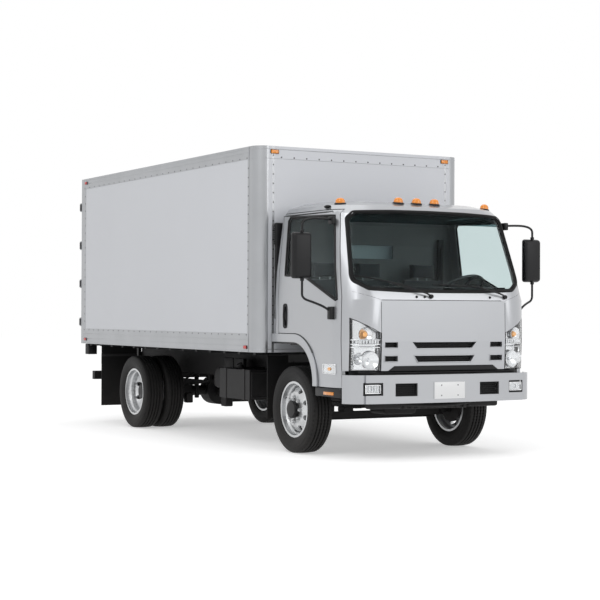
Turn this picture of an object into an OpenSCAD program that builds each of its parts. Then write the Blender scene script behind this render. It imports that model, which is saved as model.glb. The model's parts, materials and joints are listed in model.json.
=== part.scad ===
// Light cab-over box truck. It faces -Y, and +X is its left side.
// Heights are from the ground. Places along Y are given from the front axle and moved by place().

/* [Wheels and axles] */
// Distance between the front and rear axles
wheelbase = 3615; // [3300:5:4400]
// Outer radius of every tyre
tyre_r = 408; // [340:1:420]
// Width of every tyre
tyre_w = 225; // [190:1:235]
// Radius at which a tyre seats on its rim
bead_r = 250; // [200:1:270]
// Width of a rim across its flanges
rim_w = 172; // [150:1:190]
// Thickness of a wheel's disc
disc_t = 12; // [8:1:16]
// Distance from the middle of the truck to a front tyre's middle
front_half_track = 870; // [850:1:900]
// Distance from the middle of the truck to the middle of a rear pair
rear_half_track = 825; // [800:1:850]
// Distance between the middles of two paired rear tyres
dual_spacing = 254; // [245:1:290]
// Radius of the circle of wheel studs
stud_circle_r = 112; // [100:1:130]
// Distance from the middle of the truck to a kingpin
kingpin_x = 715; // [700:1:725]
// Radius of a kingpin
kingpin_r = 17; // [14:1:20]
// Length of a steering arm from the kingpin to the tie rod's pin
steering_arm = 180; // [150:1:200]

/* [Chassis] */
// Width of the frame across its two rails
frame_w = 850; // [760:5:880]
// Height of a frame rail
rail_h = 206; // [160:1:230]
// Width of a rail's flanges
rail_flange = 62; // [50:1:80]
// Thickness of a rail's steel
rail_t = 8; // [5:1:10]
// Height of the top of the frame
frame_top = 826; // [800:1:860]
// Diameter of the front axle's beam
axle_beam = 78; // [60:1:90]
// Radius of the rear axle's tubes
axle_tube_r = 58; // [50:1:70]
// Distance from the front axle to the foremost face of the bumper
front_overhang = 1172; // [1150:1:1220]
// Height of the bumper's lower edge
bumper_z = 512; // [480:1:540]
// Height of the bumper's face
bumper_h = 253; // [220:1:256]
// Thickness of the bumper's shell
bumper_t = 30; // [20:1:36]
// How far the pad for the number plate stands out from the bumper
plate_pad = 5; // [3:1:8]

/* [Load box] */
// Width of the box over its side skins
box_w = 2330; // [2240:5:2560]
// Length of the box
box_len = 4597; // [4400:5:5200]
// Distance from the front axle back to the front of the box
box_front = 365; // [360:1:450]
// Height of the lower edge of the box's side rails
box_bottom = 931; // [925:1:960]
// Height of the roof over the ground
box_top = 2907; // [2600:1:3300]
// Thickness of the box's walls and roof
wall_t = 38; // [25:1:50]
// Radius of the rounded front corner posts
post_r = 122; // [80:1:140]
// Width of a front corner post over its flange
post_w = 166; // [145:1:220]
// Height of the side's lower rail
lower_rail_h = 180; // [120:1:220]
// Height of the side's upper rail
upper_rail_h = 122; // [80:1:160]
// How far the rails stand out from the side skin
rail_proud = 3; // [2:1:5]
// Thickness of the box's floor
floor_t = 35; // [25:1:45]
// Height of the floor's cross members
cross_h = 80; // [60:1:90]
// Number of cross members
cross_count = 14; // [8:1:18]
// Thickness of a rear door
rear_door_t = 40; // [30:1:50]
// Distance of the rear hinge pins behind the doors' outer faces
rear_hinge_back = 45; // [45:1:60]

/* [Cab] */
// Half width of the cab at its belt line
cab_hw = 1015; // [980:1:1040]
// Distance from the front axle to the front of the cab
cab_front = 1090; // [1070:1:1110]
// Distance from the front axle back to the rear of the cab
cab_back_y = 310; // [280:1:320]
// Height of the cab's roof
cab_top = 2335; // [2320:1:2400]
// Thickness of the cab's panels
panel_t = 35; // [25:1:40]
// Height of the lower edge of the doors
door_bottom = 648; // [635:1:680]
// Height at which the roof panel begins
roof_z = 2250; // [2240:1:2260]
// Radius of the wheel arch's flare
flare_r = 440; // [430:1:450]
// Width of the flare around the wheel arch
flare_w = 76; // [60:1:85]
// How far the flare stands out from the cab's side
flare_proud = 12; // [6:1:20]
// Gap around a cab door
door_gap = 7; // [6:1:9]
// Height of the deck under the seats
deck_z = 1080; // [1075:1:1100]
// Thickness of the cab's floor
pan_t = 30; // [20:1:35]
// Thickness of the window glass
glass_t = 6; // [4:1:8]

/* [Cab fittings] */
// Outer radius of the steering wheel
steering_r = 210; // [190:1:230]
// Lean of the steering wheel from level
steering_lean = 32; // [20:1:45]
// Distance from the middle of the truck to the middle of a mirror
mirror_x = 1271; // [1240:1:1290]
// Width of a mirror's housing
mirror_w = 206; // [170:1:220]
// Height of a mirror's housing
mirror_h = 425; // [350:1:440]
// Thickness of a mirror's housing
mirror_t = 78; // [60:1:90]
// Radius of a mirror's arm
mirror_arm_r = 11; // [8:1:13]

/* [Tilt and steering] */
// Distance of the cab's tilt axis ahead of the front axle
tilt_y = 1000; // [980:1:1010]
// Height of the cab's tilt axis
tilt_z = 830; // [825:1:840]

/* [Hidden] */
$fn = 64;
eps = 1;
seat_gap = 0.3;

box_back = box_front + box_len;
rear_hinge_y = box_back - 10 + rear_hinge_back;
pin_r = 7;
rear_end = rear_hinge_y + 16;
// The frame's origin is on the ground, halfway along the truck.
mid_y = (rear_end - front_overhang) / 2;

steel_black = [0.10, 0.10, 0.11];
rubber_black = [0.06, 0.06, 0.06];
silver = [0.74, 0.75, 0.77];
white_skin = [0.86, 0.87, 0.89];
aluminium = [0.77, 0.78, 0.80];
glass_grey = [0.45, 0.56, 0.58];
amber = [0.95, 0.50, 0.08];
lamp_clear = [0.90, 0.90, 0.85];
trim_grey = [0.28, 0.29, 0.30];

module place() { translate([0, -mid_y, 0]) children(); }
module both_sides() {
    children();
    mirror([1, 0, 0]) children();
}
// A solid with a side-view outline of (y, z) points, from x0 to x1
module along_x(x0, x1) {
    translate([x0, 0, 0]) rotate([90, 0, 90]) linear_extrude(x1 - x0) children();
}
// A solid with a front-view outline of (x, z) points, from y0 to y1
module along_y(y0, y1) {
    translate([0, y1, 0]) rotate([90, 0, 0]) linear_extrude(y1 - y0) children();
}
module along_z(z0, z1) { translate([0, 0, z0]) linear_extrude(z1 - z0) children(); }
// A block between two corners
module block(low, high) { translate(low) cube(high - low); }
// A round bar between two points
module bar(a, b, r) {
    d = b - a;
    flat = norm([d.x, d.y]);
    translate(a) rotate([0, atan2(flat, d.z), atan2(d.y, d.x)]) cylinder(h = norm(d), r = r);
}
module disc_x(x0, x1, r) { translate([x0, 0, 0]) rotate([0, 90, 0]) cylinder(h = x1 - x0, r = r); }

// ---- chassis ----
rail_x0 = frame_w / 2 - rail_flange;
rail_x1 = frame_w / 2;
rail_z0 = frame_top - rail_h;
rail_front = -860;
rail_back = box_back - 90;
// Cross members of the frame, by their distance behind the front axle
frame_cross_y = [-820, 720, 1750, 2700, 3260, 3980, 4760];
// Gap between the cab's rear rest and the deck above it
cab_rest_y = 215;

module frame_rail() {
    difference() {
        block([rail_x0, rail_front, rail_z0], [rail_x1, rail_back, frame_top]);
        block([rail_x0 - eps, rail_front - eps, rail_z0 + rail_t],
              [rail_x1 - rail_t, rail_back + eps, frame_top - rail_t]);
    }
}
// Plate that carries the tilt pin, behind and below it
module tilt_bracket() {
    along_x(rail_x1 - 22, rail_x1 - rail_t) union() {
        translate([-tilt_y, tilt_z]) circle(r = 30);
        polygon([[-tilt_y - 8, tilt_z - 28], [rail_front + 150, rail_z0 + rail_t], [rail_front + 150, tilt_z - 30],
                 [-tilt_y + 8, tilt_z + 28]]);
    }
    translate([0, -tilt_y, tilt_z]) disc_x(rail_x1 - 60, rail_x1 - 15, 12);
}
module cab_rest() {
    block([rail_x0, cab_rest_y - 35, frame_top], [rail_x1, cab_rest_y + 35, deck_z - pan_t - 30]);
    translate([rail_x0 + rail_flange / 2, cab_rest_y, deck_z - pan_t - 30]) cylinder(h = 30 - seat_gap, r = 28);
}
module chassis_frame() color(steel_black) place() difference() {
    union() {
        both_sides() { frame_rail(); tilt_bracket(); cab_rest(); bumper_bracket(); }
        for (y = frame_cross_y)
            block([-rail_x1 + rail_t / 2, y - 35, rail_z0 + 30], [rail_x1 - rail_t / 2, y + 35, frame_top - 30]);
    }
    translate([0, box_back - 90, hitch_z]) rotate([90, 0, 0]) cylinder(h = 400, r = 14, center = true);
}
hitch_z = frame_top - rail_h / 2;
// Bracket from the front of a rail to the bumper's inner face, above the bumper's openings
bracket_w = 30;
bracket_z = [bumper_z + 188, bumper_z + 216];
module bumper_bracket() {
    block([rail_x0, bumper_inner_y(rail_x0 + bracket_w) + seat_gap, bracket_z[0]],
          [rail_x0 + bracket_w, rail_front + 60, bracket_z[1]]);
}

// Leaf springs: place of the axle, half length, height of the pack, count of leaves, offset of the pack
spring_x = 394;
spring_table = [[0, 600, 415, 4], [wheelbase, 660, 480, 6]];
spring_w = 70;
leaf_t = 11;
module leaf_pack(y, half, z, leaves) {
    for (i = [0 : leaves - 1])
        block([spring_x - spring_w / 2, y - half * (1 - i / (leaves + 1)), z - (i + 1) * leaf_t],
              [spring_x + spring_w / 2, y + half * (1 - i / (leaves + 1)), z - i * leaf_t]);
    for (s = [-1, 1])
        block([spring_x - 12, y + s * (half - 20) - 20, z - leaf_t], [spring_x + 12, y + s * (half - 20) + 20, rail_z0]);
}
module leaf_springs() color(steel_black) place() both_sides()
    for (row = spring_table) leaf_pack(row[0], row[1], row[2] + row[3] * leaf_t, row[3]);

// The kingpins' eyes are at the ends of the dropped beam
axle_low = tyre_r - 50;
eye_h = 70;
module front_axle() color(steel_black) place() difference() {
    union() {
        block([-600, -axle_beam / 2, axle_low - axle_beam / 2], [600, axle_beam / 2, axle_low + axle_beam / 2 - 22]);
        both_sides() {
            block([540, -axle_beam / 2, axle_low - axle_beam / 2], [kingpin_x, axle_beam / 2, tyre_r + eye_h / 2]);
            translate([kingpin_x, 0, tyre_r - eye_h / 2]) cylinder(h = eye_h, r = 40);
            block([spring_x - 50, -60, axle_low + axle_beam / 2 - 22], [spring_x + 50, 60, spring_table[0][2]]);
        }
    }
    both_sides() {
        translate([kingpin_x, 0, 0]) cylinder(h = 1000, r = kingpin_r + running_gap);
        block([kingpin_x - 60, -200, axle_low - 100], [kingpin_x + 60, 200, tyre_r - eye_h / 2]);
    }
}
module rear_axle() color(steel_black) place() translate([0, wheelbase, 0]) {
    translate([0, 0, tyre_r]) {
        disc_x(-rear_half_track + 110, rear_half_track - 110, axle_tube_r);
        disc_x(-rear_half_track - 100, rear_half_track + 100, rear_spindle_r);
        rotate([90, 0, 0]) translate([0, 0, -110]) cylinder(h = 220, r = 165);
        bar([0, -110, 0], [0, pinion_y, 0], 70);
    }
    both_sides() block([spring_x - 50, -60, tyre_r], [spring_x + 50, 60, spring_table[1][2]]);
}
engine_back = 340;
gearbox_back = 1180;
shaft_r = 42;
shaft_z = 540;
yoke = 60;
pinion_y = -250;
module driveshaft() color(steel_black) place() {
    a = [0, gearbox_back, shaft_z];
    b = [0, wheelbase + pinion_y, tyre_r];
    bar(a, a + [0, yoke, 0], shaft_r + 12);
    bar(b - [0, yoke, 0], b, shaft_r + 12);
    bar(a + [0, yoke / 2, 0], b - [0, yoke / 2, 0], shaft_r);
}
module engine() color(trim_grey) place() {
    block([-300, -370, 470], [300, engine_back, 985]);
    block([-170, engine_back, 430], [170, gearbox_back, 640]);
}
exhaust_z = 560;
silencer_r = 118;
pipe_r = 38;
exhaust_x = 600;
// Pipe from the engine back to its end behind the silencer
exhaust_route = [[170 + seat_gap, 720, exhaust_z], [300, 720, exhaust_z], [560, 960, exhaust_z - 20], [exhaust_x, 1600, exhaust_z - 20],
                 [exhaust_x, 2650, exhaust_z], [900, 2900, exhaust_z - 60]];
module exhaust() color(steel_black) place() {
    bar([exhaust_x, 1750, exhaust_z], [exhaust_x, 2480, exhaust_z], silencer_r);
    pipe(exhaust_route, pipe_r);
    for (y = [1900, 2330]) block([rail_x1, y - 15, exhaust_z + 80], [exhaust_x, y + 15, exhaust_z + silencer_r]);
}
// A bent pipe through the points of a route, with a knuckle at each bend
module pipe(route, r) {
    for (k = [0 : len(route) - 2]) {
        bar(route[k], route[k + 1], r);
        if (k > 0) translate(route[k]) sphere(r = r + 1.5);
    }
}
// Boxes hung outside the rails: inner x, outer x, front, back, low, high
tank_box = [500, 945, 930, 1600, 445, 742];
battery_row = [700, 945, 930, 1440, 470, 760];
module hung_box(b) {
    block([b[0], b[2], b[4]], [b[1], b[3], b[5]]);
    for (y = [b[2] + 130, b[3] - 130]) {
        block([b[0] - eps, y - 25, b[4] - 5], [b[1] + 5, y + 25, b[5] + 5]);
        block([rail_x1, y - 25, b[5] - 120], [b[0], y + 25, b[5] - 40]);
    }
}
module fuel_tank() color(steel_black) place() mirror([1, 0, 0]) hung_box(tank_box);
module battery_box() color(steel_black) place() hung_box(battery_row);

// ---- bumper and mudguards ----
bumper_hw = 1000;
bumper_face = -front_overhang + plate_pad;
// Plate bolts: half spacing across and heights
plate_bolt_x = 88.9;
plate_bolt_z = [576, 668];
bumper_end_y = -955;
bumper_corner = 150;
bumper_bow = 70;
bow_r = (pow(bumper_hw, 2) + pow(bumper_bow, 2)) / (2 * bumper_bow);
// Place along Y of the bumper's inner face at a distance x from the middle
function bumper_inner_y(x) = bumper_face + bow_r - sqrt(pow(bow_r - bumper_t, 2) - x * x);
// The bumper's plan: a bowed face, round corners and short returns; inset shrinks it
module bumper_plan(inset) {
    intersection() {
        translate([0, bumper_face + bow_r]) circle(r = bow_r - inset, $fn = 200);
        union() {
            translate([-bumper_hw + bumper_corner, bumper_face - eps])
                square([2 * (bumper_hw - bumper_corner), front_overhang]);
            translate([-bumper_hw + inset, bumper_face + bumper_bow + bumper_corner])
                square([2 * (bumper_hw - inset), front_overhang]);
            for (s = [-1, 1])
                translate([s * (bumper_hw - bumper_corner), bumper_face + bumper_bow + bumper_corner])
                    circle(r = bumper_corner - inset);
        }
        translate([-bumper_hw, -front_overhang]) square([2 * bumper_hw, front_overhang + bumper_end_y]);
    }
}
// Openings in the bumper's face: middle x, half width, low z, high z
bumper_holes = [[450, 112, 575, 690], [775, 92, 585, 697]];
module front_bumper() color(silver) place() difference() {
    union() {
        along_z(bumper_z, bumper_z + bumper_h) difference() {
            bumper_plan(0);
            bumper_plan(bumper_t);
        }
        block([-170, -front_overhang, 545], [170, bumper_face + 15, 699]);
    }
    both_sides() for (h = bumper_holes)
        block([h[0] - h[1], -front_overhang - eps, h[2]], [h[0] + h[1], -front_overhang + 200, h[3]]);
    for (x = [-plate_bolt_x, plate_bolt_x], z = plate_bolt_z)
        translate([x, -front_overhang + 100, z]) rotate([90, 0, 0]) cylinder(h = 200, r = 3.5);
}
flap_t = 8;
module mudguards() color(rubber_black) place() both_sides() {
    // guard behind the front tyre, with its bracket to the rail
    block([760, 470, 300], [985, 470 + flap_t, 900]);
    block([rail_x1, 470, 790], [985, 470 + flap_t, 830]);
    // flap behind the rear tyres, hung from the box's floor
    block([640, 4480, 205], [1090, 4480 + flap_t, cross_z0]);
}

// ---- load box ----
box_hw = box_w / 2;
inner_hw = box_hw - wall_t;
floor_top = box_bottom + 54 + floor_t;
cross_z1 = box_bottom + 54;
cross_z0 = cross_z1 - cross_h;
rear_frame_d = 70;
wall_back = box_back - rear_frame_d;
door_z0 = floor_top + 20;
header_h = 180;
door_z1 = box_top - header_h - 6;
post_inner = box_hw - 60;

// Plan of the space inside the box, with the front wall's round corners
module box_inner_plan() {
    front_wall_plan(wall_t);
    translate([-inner_hw, box_front + post_w]) square([2 * inner_hw, wall_back - box_front - post_w]);
}
module box_floor() color(trim_grey) place() {
    along_z(cross_z1, floor_top) box_inner_plan();
    pitch = (wall_back - box_front - 250) / (cross_count - 1);
    for (i = [0 : cross_count - 1])
        translate([0, box_front + 150 + i * pitch, 0])
            block([-inner_hw + 20, -25, cross_z0], [inner_hw - 20, 25, cross_z1]);
    both_sides() block([rail_x0, box_front + wall_t, frame_top], [rail_x1, wall_back - 60, cross_z0]);
}
module box_side_walls() color(white_skin) place() both_sides() {
    block([inner_hw, box_front + post_w, box_bottom], [box_hw, wall_back, box_top]);
    block([box_hw, box_front + post_w, box_bottom], [box_hw + rail_proud, wall_back, box_bottom + lower_rail_h]);
    block([box_hw, box_front + post_w, box_top - upper_rail_h], [box_hw + rail_proud, wall_back, box_top]);
}
// Plan of the front wall with its round corners; inset gives the inner line
module front_wall_plan(inset) {
    r = post_r - inset;
    for (s = [-1, 1]) translate([s * (box_hw - post_r), box_front + post_r]) circle(r = r);
    translate([-box_hw + post_r, box_front + inset]) square([2 * (box_hw - post_r), post_w]);
    translate([-box_hw + inset, box_front + post_r]) square([2 * (box_hw - inset), post_w]);
}
module box_front_wall() color(aluminium) place() along_z(box_bottom, box_top) difference() {
    intersection() {
        front_wall_plan(0);
        translate([-box_hw, box_front]) square([box_w, post_w]);
    }
    front_wall_plan(wall_t);
}
module box_roof() color(white_skin) place() along_z(box_top - wall_t, box_top - 2) box_inner_plan();
// Heights of the rear door hinges
rear_hinge_z = [for (k = [0 : 3]) door_z0 + 150 + k * (door_z1 - door_z0 - 300) / 3];
hinge_h = 80;
module rear_frame() color(aluminium) place() {
    block([-box_hw, wall_back, box_top - header_h], [box_hw, box_back, box_top]);
    block([-box_hw, wall_back, box_bottom], [box_hw, box_back, floor_top]);
    both_sides() {
        block([post_inner, wall_back, floor_top - eps], [box_hw, box_back, box_top - header_h + eps]);
        for (z = rear_hinge_z) {
            translate([box_hw - 5, rear_hinge_y, z - hinge_h / 2 - 12]) cylinder(h = hinge_h + 24, r = pin_r);
            for (dz = [-hinge_h / 2 - 12, hinge_h / 2 + 2])
                block([box_hw - 14, box_back - eps, z + dz], [box_hw + 4, rear_hinge_y + pin_r, z + dz + 10]);
        }
    }
}
rear_door_y1 = box_back - 10;
rear_door_y0 = rear_door_y1 - rear_door_t;
leaf_x1 = post_inner - 5;
rod_x = 240;
rod_r = 12;
hinge_x = box_hw - 5;
module rear_door() {
    block([3, rear_door_y0, door_z0], [leaf_x1, rear_door_y1, door_z1]);
    for (z = rear_hinge_z) along_z(z - hinge_h / 2, z + hinge_h / 2) difference() {
        union() {
            translate([hinge_x, rear_hinge_y]) circle(r = 16);
            translate([hinge_x, rear_hinge_y]) polygon([
                [-180, -rear_hinge_back], [-62, -rear_hinge_back], [-62, -29], [-8, -14], [-8, 8],
                [-27, -11], [-82, -18], [-105, -rear_hinge_back + 8], [-180, -rear_hinge_back + 8]]);
        }
        translate([hinge_x, rear_hinge_y]) circle(r = pin_r + 0.5);
    }
    // lock rod with its guides and handle
    translate([rod_x, rear_door_y1 + 18, door_z0 + 20]) cylinder(h = door_z1 - door_z0 - 40, r = rod_r);
    for (k = [0 : 3])
        block([rod_x - 35, rear_door_y1 - eps, door_z0 + 60 + k * (door_z1 - door_z0 - 160) / 3],
              [rod_x + 35, rear_door_y1 + 24, door_z0 + 100 + k * (door_z1 - door_z0 - 160) / 3]);
    block([rod_x - 8, rear_door_y1 + 8, 1500], [rod_x + 360, rear_door_y1 + 22, 1540]);
    block([rod_x + 300, rear_door_y1 - eps, 1490], [rod_x + 350, rear_door_y1 + 8, 1550]);
}
module rear_door_left() color(white_skin) place() rear_door();
module rear_door_right() color(white_skin) place() mirror([1, 0, 0]) rear_door();
step_y = box_back - 60;
module rear_bumper() color(steel_black) place() {
    block([-1040, step_y - 70, 500], [1040, step_y, 600]);
    both_sides() {
        block([rail_x1, step_y - 60, 560], [rail_x1 + 40, step_y - 10, cross_z0]);
        block([rail_x0, step_y - 60, 560], [rail_x1 + 40, step_y - 10, rail_z0]);
    }
}
// Marker lamps on the box: x, y, z of the middle of the lens and its half sizes
lamp_proud = 14;
module box_lamps() color(amber) place() {
    both_sides() {
        translate([box_hw + rail_proud, 0, 0]) {
            block([0, box_back - 190, box_top - 70], [lamp_proud, box_back - 120, box_top - 35]);
            block([0, box_back - 190, box_bottom + 35], [lamp_proud, box_back - 120, box_bottom + 70]);
            block([0, box_front + 185, box_bottom + 30], [lamp_proud, box_front + 255, box_bottom + 65]);
        }
        block([box_hw - post_r - 110, box_front - lamp_proud, box_top - 75],
              [box_hw - post_r - 20, box_front, box_top - 35]);
        block([820, box_back, box_bottom + 20], [960, box_back + lamp_proud, box_bottom + 70]);
    }
    for (x = [-110, 0, 110]) block([x - 30, box_back, box_top - 75], [x + 30, box_back + lamp_proud, box_top - 45]);
}

// ---- wheels ----
sidewall_r = 137;
crown_r = 620;
module tyre_section() {
    offset_x = sidewall_r - tyre_w / 2;
    mid_r = (tyre_r + bead_r) / 2;
    intersection() {
        translate([mid_r, offset_x]) circle(r = sidewall_r);
        translate([mid_r, -offset_x]) circle(r = sidewall_r);
        translate([tyre_r - crown_r, 0]) circle(r = crown_r, $fn = 180);
        union() {
            translate([bead_r + flange_h + seat_gap, -tyre_w]) square([tyre_r, 2 * tyre_w]);
            translate([bead_r + seat_gap, flange_t + seat_gap - rim_w / 2])
                square([flange_h + seat_gap, rim_w - 2 * (flange_t + seat_gap)]);
        }
    }
}
module tyre(x) { translate([x, 0, 0]) rotate([0, 90, 0]) rotate_extrude($fn = 96) tyre_section(); }
// Rim barrel as (radius, x) points: two flanges, bead seats and a well
rim_t = 8;
flange_h = 12;
flange_t = 8;
module rim_section() {
    h = rim_w / 2;
    polygon([[bead_r + flange_h, -h], [bead_r + flange_h, -h + flange_t], [bead_r, -h + flange_t], [bead_r, -h + 40],
             [bead_r - 25, -h + 60], [bead_r - 25, h - 60], [bead_r, h - 40], [bead_r, h - flange_t],
             [bead_r + flange_h, h - flange_t], [bead_r + flange_h, h], [bead_r - rim_t, h], [bead_r - rim_t, h - 38],
             [bead_r - 25 - rim_t, h - 58], [bead_r - 25 - rim_t, -h + 58], [bead_r - rim_t, -h + 38],
             [bead_r - rim_t, -h]]);
}
// Disc as (radius, x) points, bulging from the well to the mounting face at x = out
module disc_section(out) {
    well = bead_r - 25 - rim_t + 2;
    polygon([[hub_r + seat_gap, out - disc_t], [hub_r + seat_gap, out], [160, out], [well - 20, out * 0.45 + disc_t / 2],
             [well, out * 0.45 - 30], [well, out * 0.45 - 45], [well - 26, out * 0.45 - disc_t / 2],
             [150, out - disc_t]]);
}
hub_r = 78;
hand_hole_r = 27;
hand_holes = 8;
// A rim at x, whose disc bulges by out towards +X, or towards -X where it faces inward
module rim(x, out, inward = false) {
    translate([x, 0, 0]) mirror([inward ? 1 : 0, 0, 0]) rotate([0, 90, 0]) difference() {
        union() {
            rotate_extrude($fn = 96) rim_section();
            rotate_extrude($fn = 96) disc_section(out);
        }
        for (k = [0 : hand_holes - 1])
            rotate([0, 0, (k + 0.5) * 360 / hand_holes]) translate([188, 0, -200]) cylinder(h = 400, r = hand_hole_r);
    }
}
front_disc_out = 72;
dual_disc_out = dual_spacing / 2;
module at_front_wheel() { place() translate([0, 0, tyre_r]) children(); }
module at_rear_wheel() { place() translate([0, wheelbase, tyre_r]) children(); }
// Hub, stud circle and cap of a front wheel, turning on the spindle
module front_hub() {
    difference() {
        union() {
            disc_x(front_half_track - 40, front_half_track + front_disc_out + 48, hub_r);
            disc_x(front_half_track + 20, front_half_track + front_disc_out - disc_t, 140);
            disc_x(front_half_track - 60, front_half_track - 30, 165);
        }
        disc_x(front_half_track - 70, front_half_track + 62, spindle_r + running_gap);
    }
    studs(front_half_track + front_disc_out);
}
spindle_r = 28;
rear_spindle_r = 42;
running_gap = 0.4;
// Ring of wheel nuts standing on a disc's face at x
module studs(x) {
    for (k = [0 : 7]) rotate([k * 45, 0, 0]) translate([0, stud_circle_r, 0]) disc_x(x - 4, x + 26, 15);
}
module front_tyre_left() color(rubber_black) at_front_wheel() tyre(front_half_track);
module front_tyre_right() color(rubber_black) at_front_wheel() tyre(-front_half_track);
module front_rim_left() color(aluminium) at_front_wheel() { rim(front_half_track, front_disc_out); front_hub(); }
module front_rim_right() color(aluminium) at_front_wheel() mirror([1, 0, 0]) {
    rim(front_half_track, front_disc_out);
    front_hub();
}
module rear_tyres() for (s = [-1, 1]) tyre(rear_half_track + s * dual_spacing / 2);
module rear_rims() {
    rim(rear_half_track - dual_spacing / 2, dual_disc_out);
    rim(rear_half_track + dual_spacing / 2, dual_disc_out, true);
    difference() {
        union() {
            disc_x(rear_half_track - 100, rear_half_track + 130, hub_r);
            disc_x(rear_half_track - 90, rear_half_track - disc_t, 140);
        }
        disc_x(rear_half_track - 120, rear_half_track + 104, rear_spindle_r + running_gap);
    }
    studs(rear_half_track + disc_t);
}
module rear_tyres_left() color(rubber_black) at_rear_wheel() rear_tyres();
module rear_tyres_right() color(rubber_black) at_rear_wheel() mirror([1, 0, 0]) rear_tyres();
module rear_rims_left() color(aluminium) at_rear_wheel() rear_rims();
module rear_rims_right() color(aluminium) at_rear_wheel() mirror([1, 0, 0]) rear_rims();

// ---- steering ----
fork_gap = 3;
rod_z = tyre_r - 105;
fork_t = 28;
module knuckle() {
    for (z = [-eye_h / 2 - fork_gap - fork_t, eye_h / 2 + fork_gap])
        translate([kingpin_x, 0, tyre_r + z]) {
            cylinder(h = fork_t, r = 36);
            block([0, -36, 0], [78, 36, fork_t]);
        }
    block([kingpin_x + 50, -36, tyre_r - eye_h / 2 - 31], [kingpin_x + 78, 36, tyre_r + eye_h / 2 + 31]);
    translate([kingpin_x, 0, tyre_r - eye_h / 2 - 31]) cylinder(h = eye_h + 62, r = kingpin_r);
    translate([0, 0, tyre_r]) disc_x(kingpin_x + 60, front_half_track + 58, spindle_r);
    // steering arm, straight back so that the rod and arms keep a parallelogram
    block([kingpin_x - 18, 20, rod_z + 14], [kingpin_x + 18, steering_arm + 22, rod_z + 44]);
    translate([kingpin_x, steering_arm, rod_z - 20]) cylinder(h = 40, r = 9);
}
module knuckle_left() color(steel_black) place() knuckle();
module knuckle_right() color(steel_black) place() mirror([1, 0, 0]) knuckle();
module tie_rod() color(trim_grey) place() translate([0, steering_arm, rod_z - 6]) {
    disc_x(-kingpin_x + 20, kingpin_x - 20, 13);
    both_sides() difference() {
        translate([kingpin_x, 0, -13]) cylinder(h = 26 - 8, r = 24);
        translate([kingpin_x, 0, -20]) cylinder(h = 60, r = 9.3);
    }
}

// ---- cab ----
// Sections of the cab: height, half width, front and back along Y, radius of the front corners
cab_sections = [
    [door_bottom, cab_hw - 7, -cab_front + 18, cab_back_y, 290],
    [1060, cab_hw, -cab_front, cab_back_y, 300],
    [1430, cab_hw, -cab_front + 8, cab_back_y, 300],
    [1700, cab_hw - 14, -cab_front + 92, cab_back_y, 308],
    [2210, cab_hw - 65, -cab_front + 250, cab_back_y - 30, 330],
    [2290, cab_hw - 110, -cab_front + 340, cab_back_y - 70, 330],
    [cab_top, cab_hw - 225, -cab_front + 500, cab_back_y - 160, 300]
];
back_corner = 60;
slice = 1;
module cab_section(s, inset) {
    r = s[4] - inset;
    for (side = [-1, 1]) {
        translate([side * (s[1] - s[4]), s[2] + s[4]]) circle(r = r, $fn = 32);
        translate([side * (s[1] - back_corner), s[3] - back_corner]) circle(r = back_corner - inset / 2, $fn = 24);
    }
}
// The closed shape of the cab, drawn in by inset on every side but the bottom
module cab_shape(inset) hull() for (k = [0 : len(cab_sections) - 1]) {
    s = cab_sections[k];
    closed_end = k == 0 || k > 3;
    translate([0, 0, s[0] - (closed_end ? inset : 0) - (k > 3 ? slice : 0)]) linear_extrude(slice) cab_section(s, inset);
}
module cab_shell() difference() {
    cab_shape(0);
    cab_shape(panel_t);
}
arch_y = -110;
arch_z = 674;
door_front = -918;
door_lean_z = 1440;
door_top_front = -705;
door_rear = 215;
// Side view of a door, drawn in by gap
module door_outline(gap) difference() {
    polygon([[door_front + gap, door_bottom], [door_rear - gap, door_bottom], [door_rear - gap, roof_z - gap],
             [door_top_front + gap, roof_z - gap], [door_front + gap, door_lean_z]]);
    arch_outline(flare_r + gap);
}
// Side view of the wheel arch: round at the front, open to the back of the cab
module arch_outline(r) {
    translate([arch_y, arch_z]) circle(r = r);
    translate([arch_y, 0]) square([cab_back_y - arch_y + 50, arch_z + r]);
    translate([arch_y - r, 0]) square([r + 50, arch_z]);
}
// Side view of a door's window
module door_window_outline()
    polygon([[-861, 1440], [-668, 2185], [80, 2205], [112, 2170], [88, 1662], [-250, 1656], [-840, 1432]]);
// Front view of the windshield's opening, one half
module windshield_cut() both_sides() along_y(-1400, -500)
    polygon([[-eps, 1512], [400, 1514], [780, 1530], [890, 1600], [900, 1640], [845, 2165], [785, 2218], [400, 2234],
             [-eps, 2238]]);
panel_hw = 670;
panel_z1 = 1428;
panel_z0 = 800;
// Front view of a headlight, from its inner edge at x
module headlight_outline(x)
    polygon([[x, panel_z0 - eps], [x, 1137], [712, 1150], [942, 1271], [942, panel_z0 - eps]]);
module headlight_prism(x) along_y(-1400, door_front - 12) headlight_outline(x);
module door_region(gap) both_sides() along_x(820, 1100) door_outline(gap);
module below_front() block([-1200, -1400, 0], [1200, door_front + eps, panel_z0]);
module back_region() block([-cab_hw + back_corner, cab_back_y - panel_t, deck_z - pan_t], [cab_hw - back_corner, 500, roof_z]);

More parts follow.
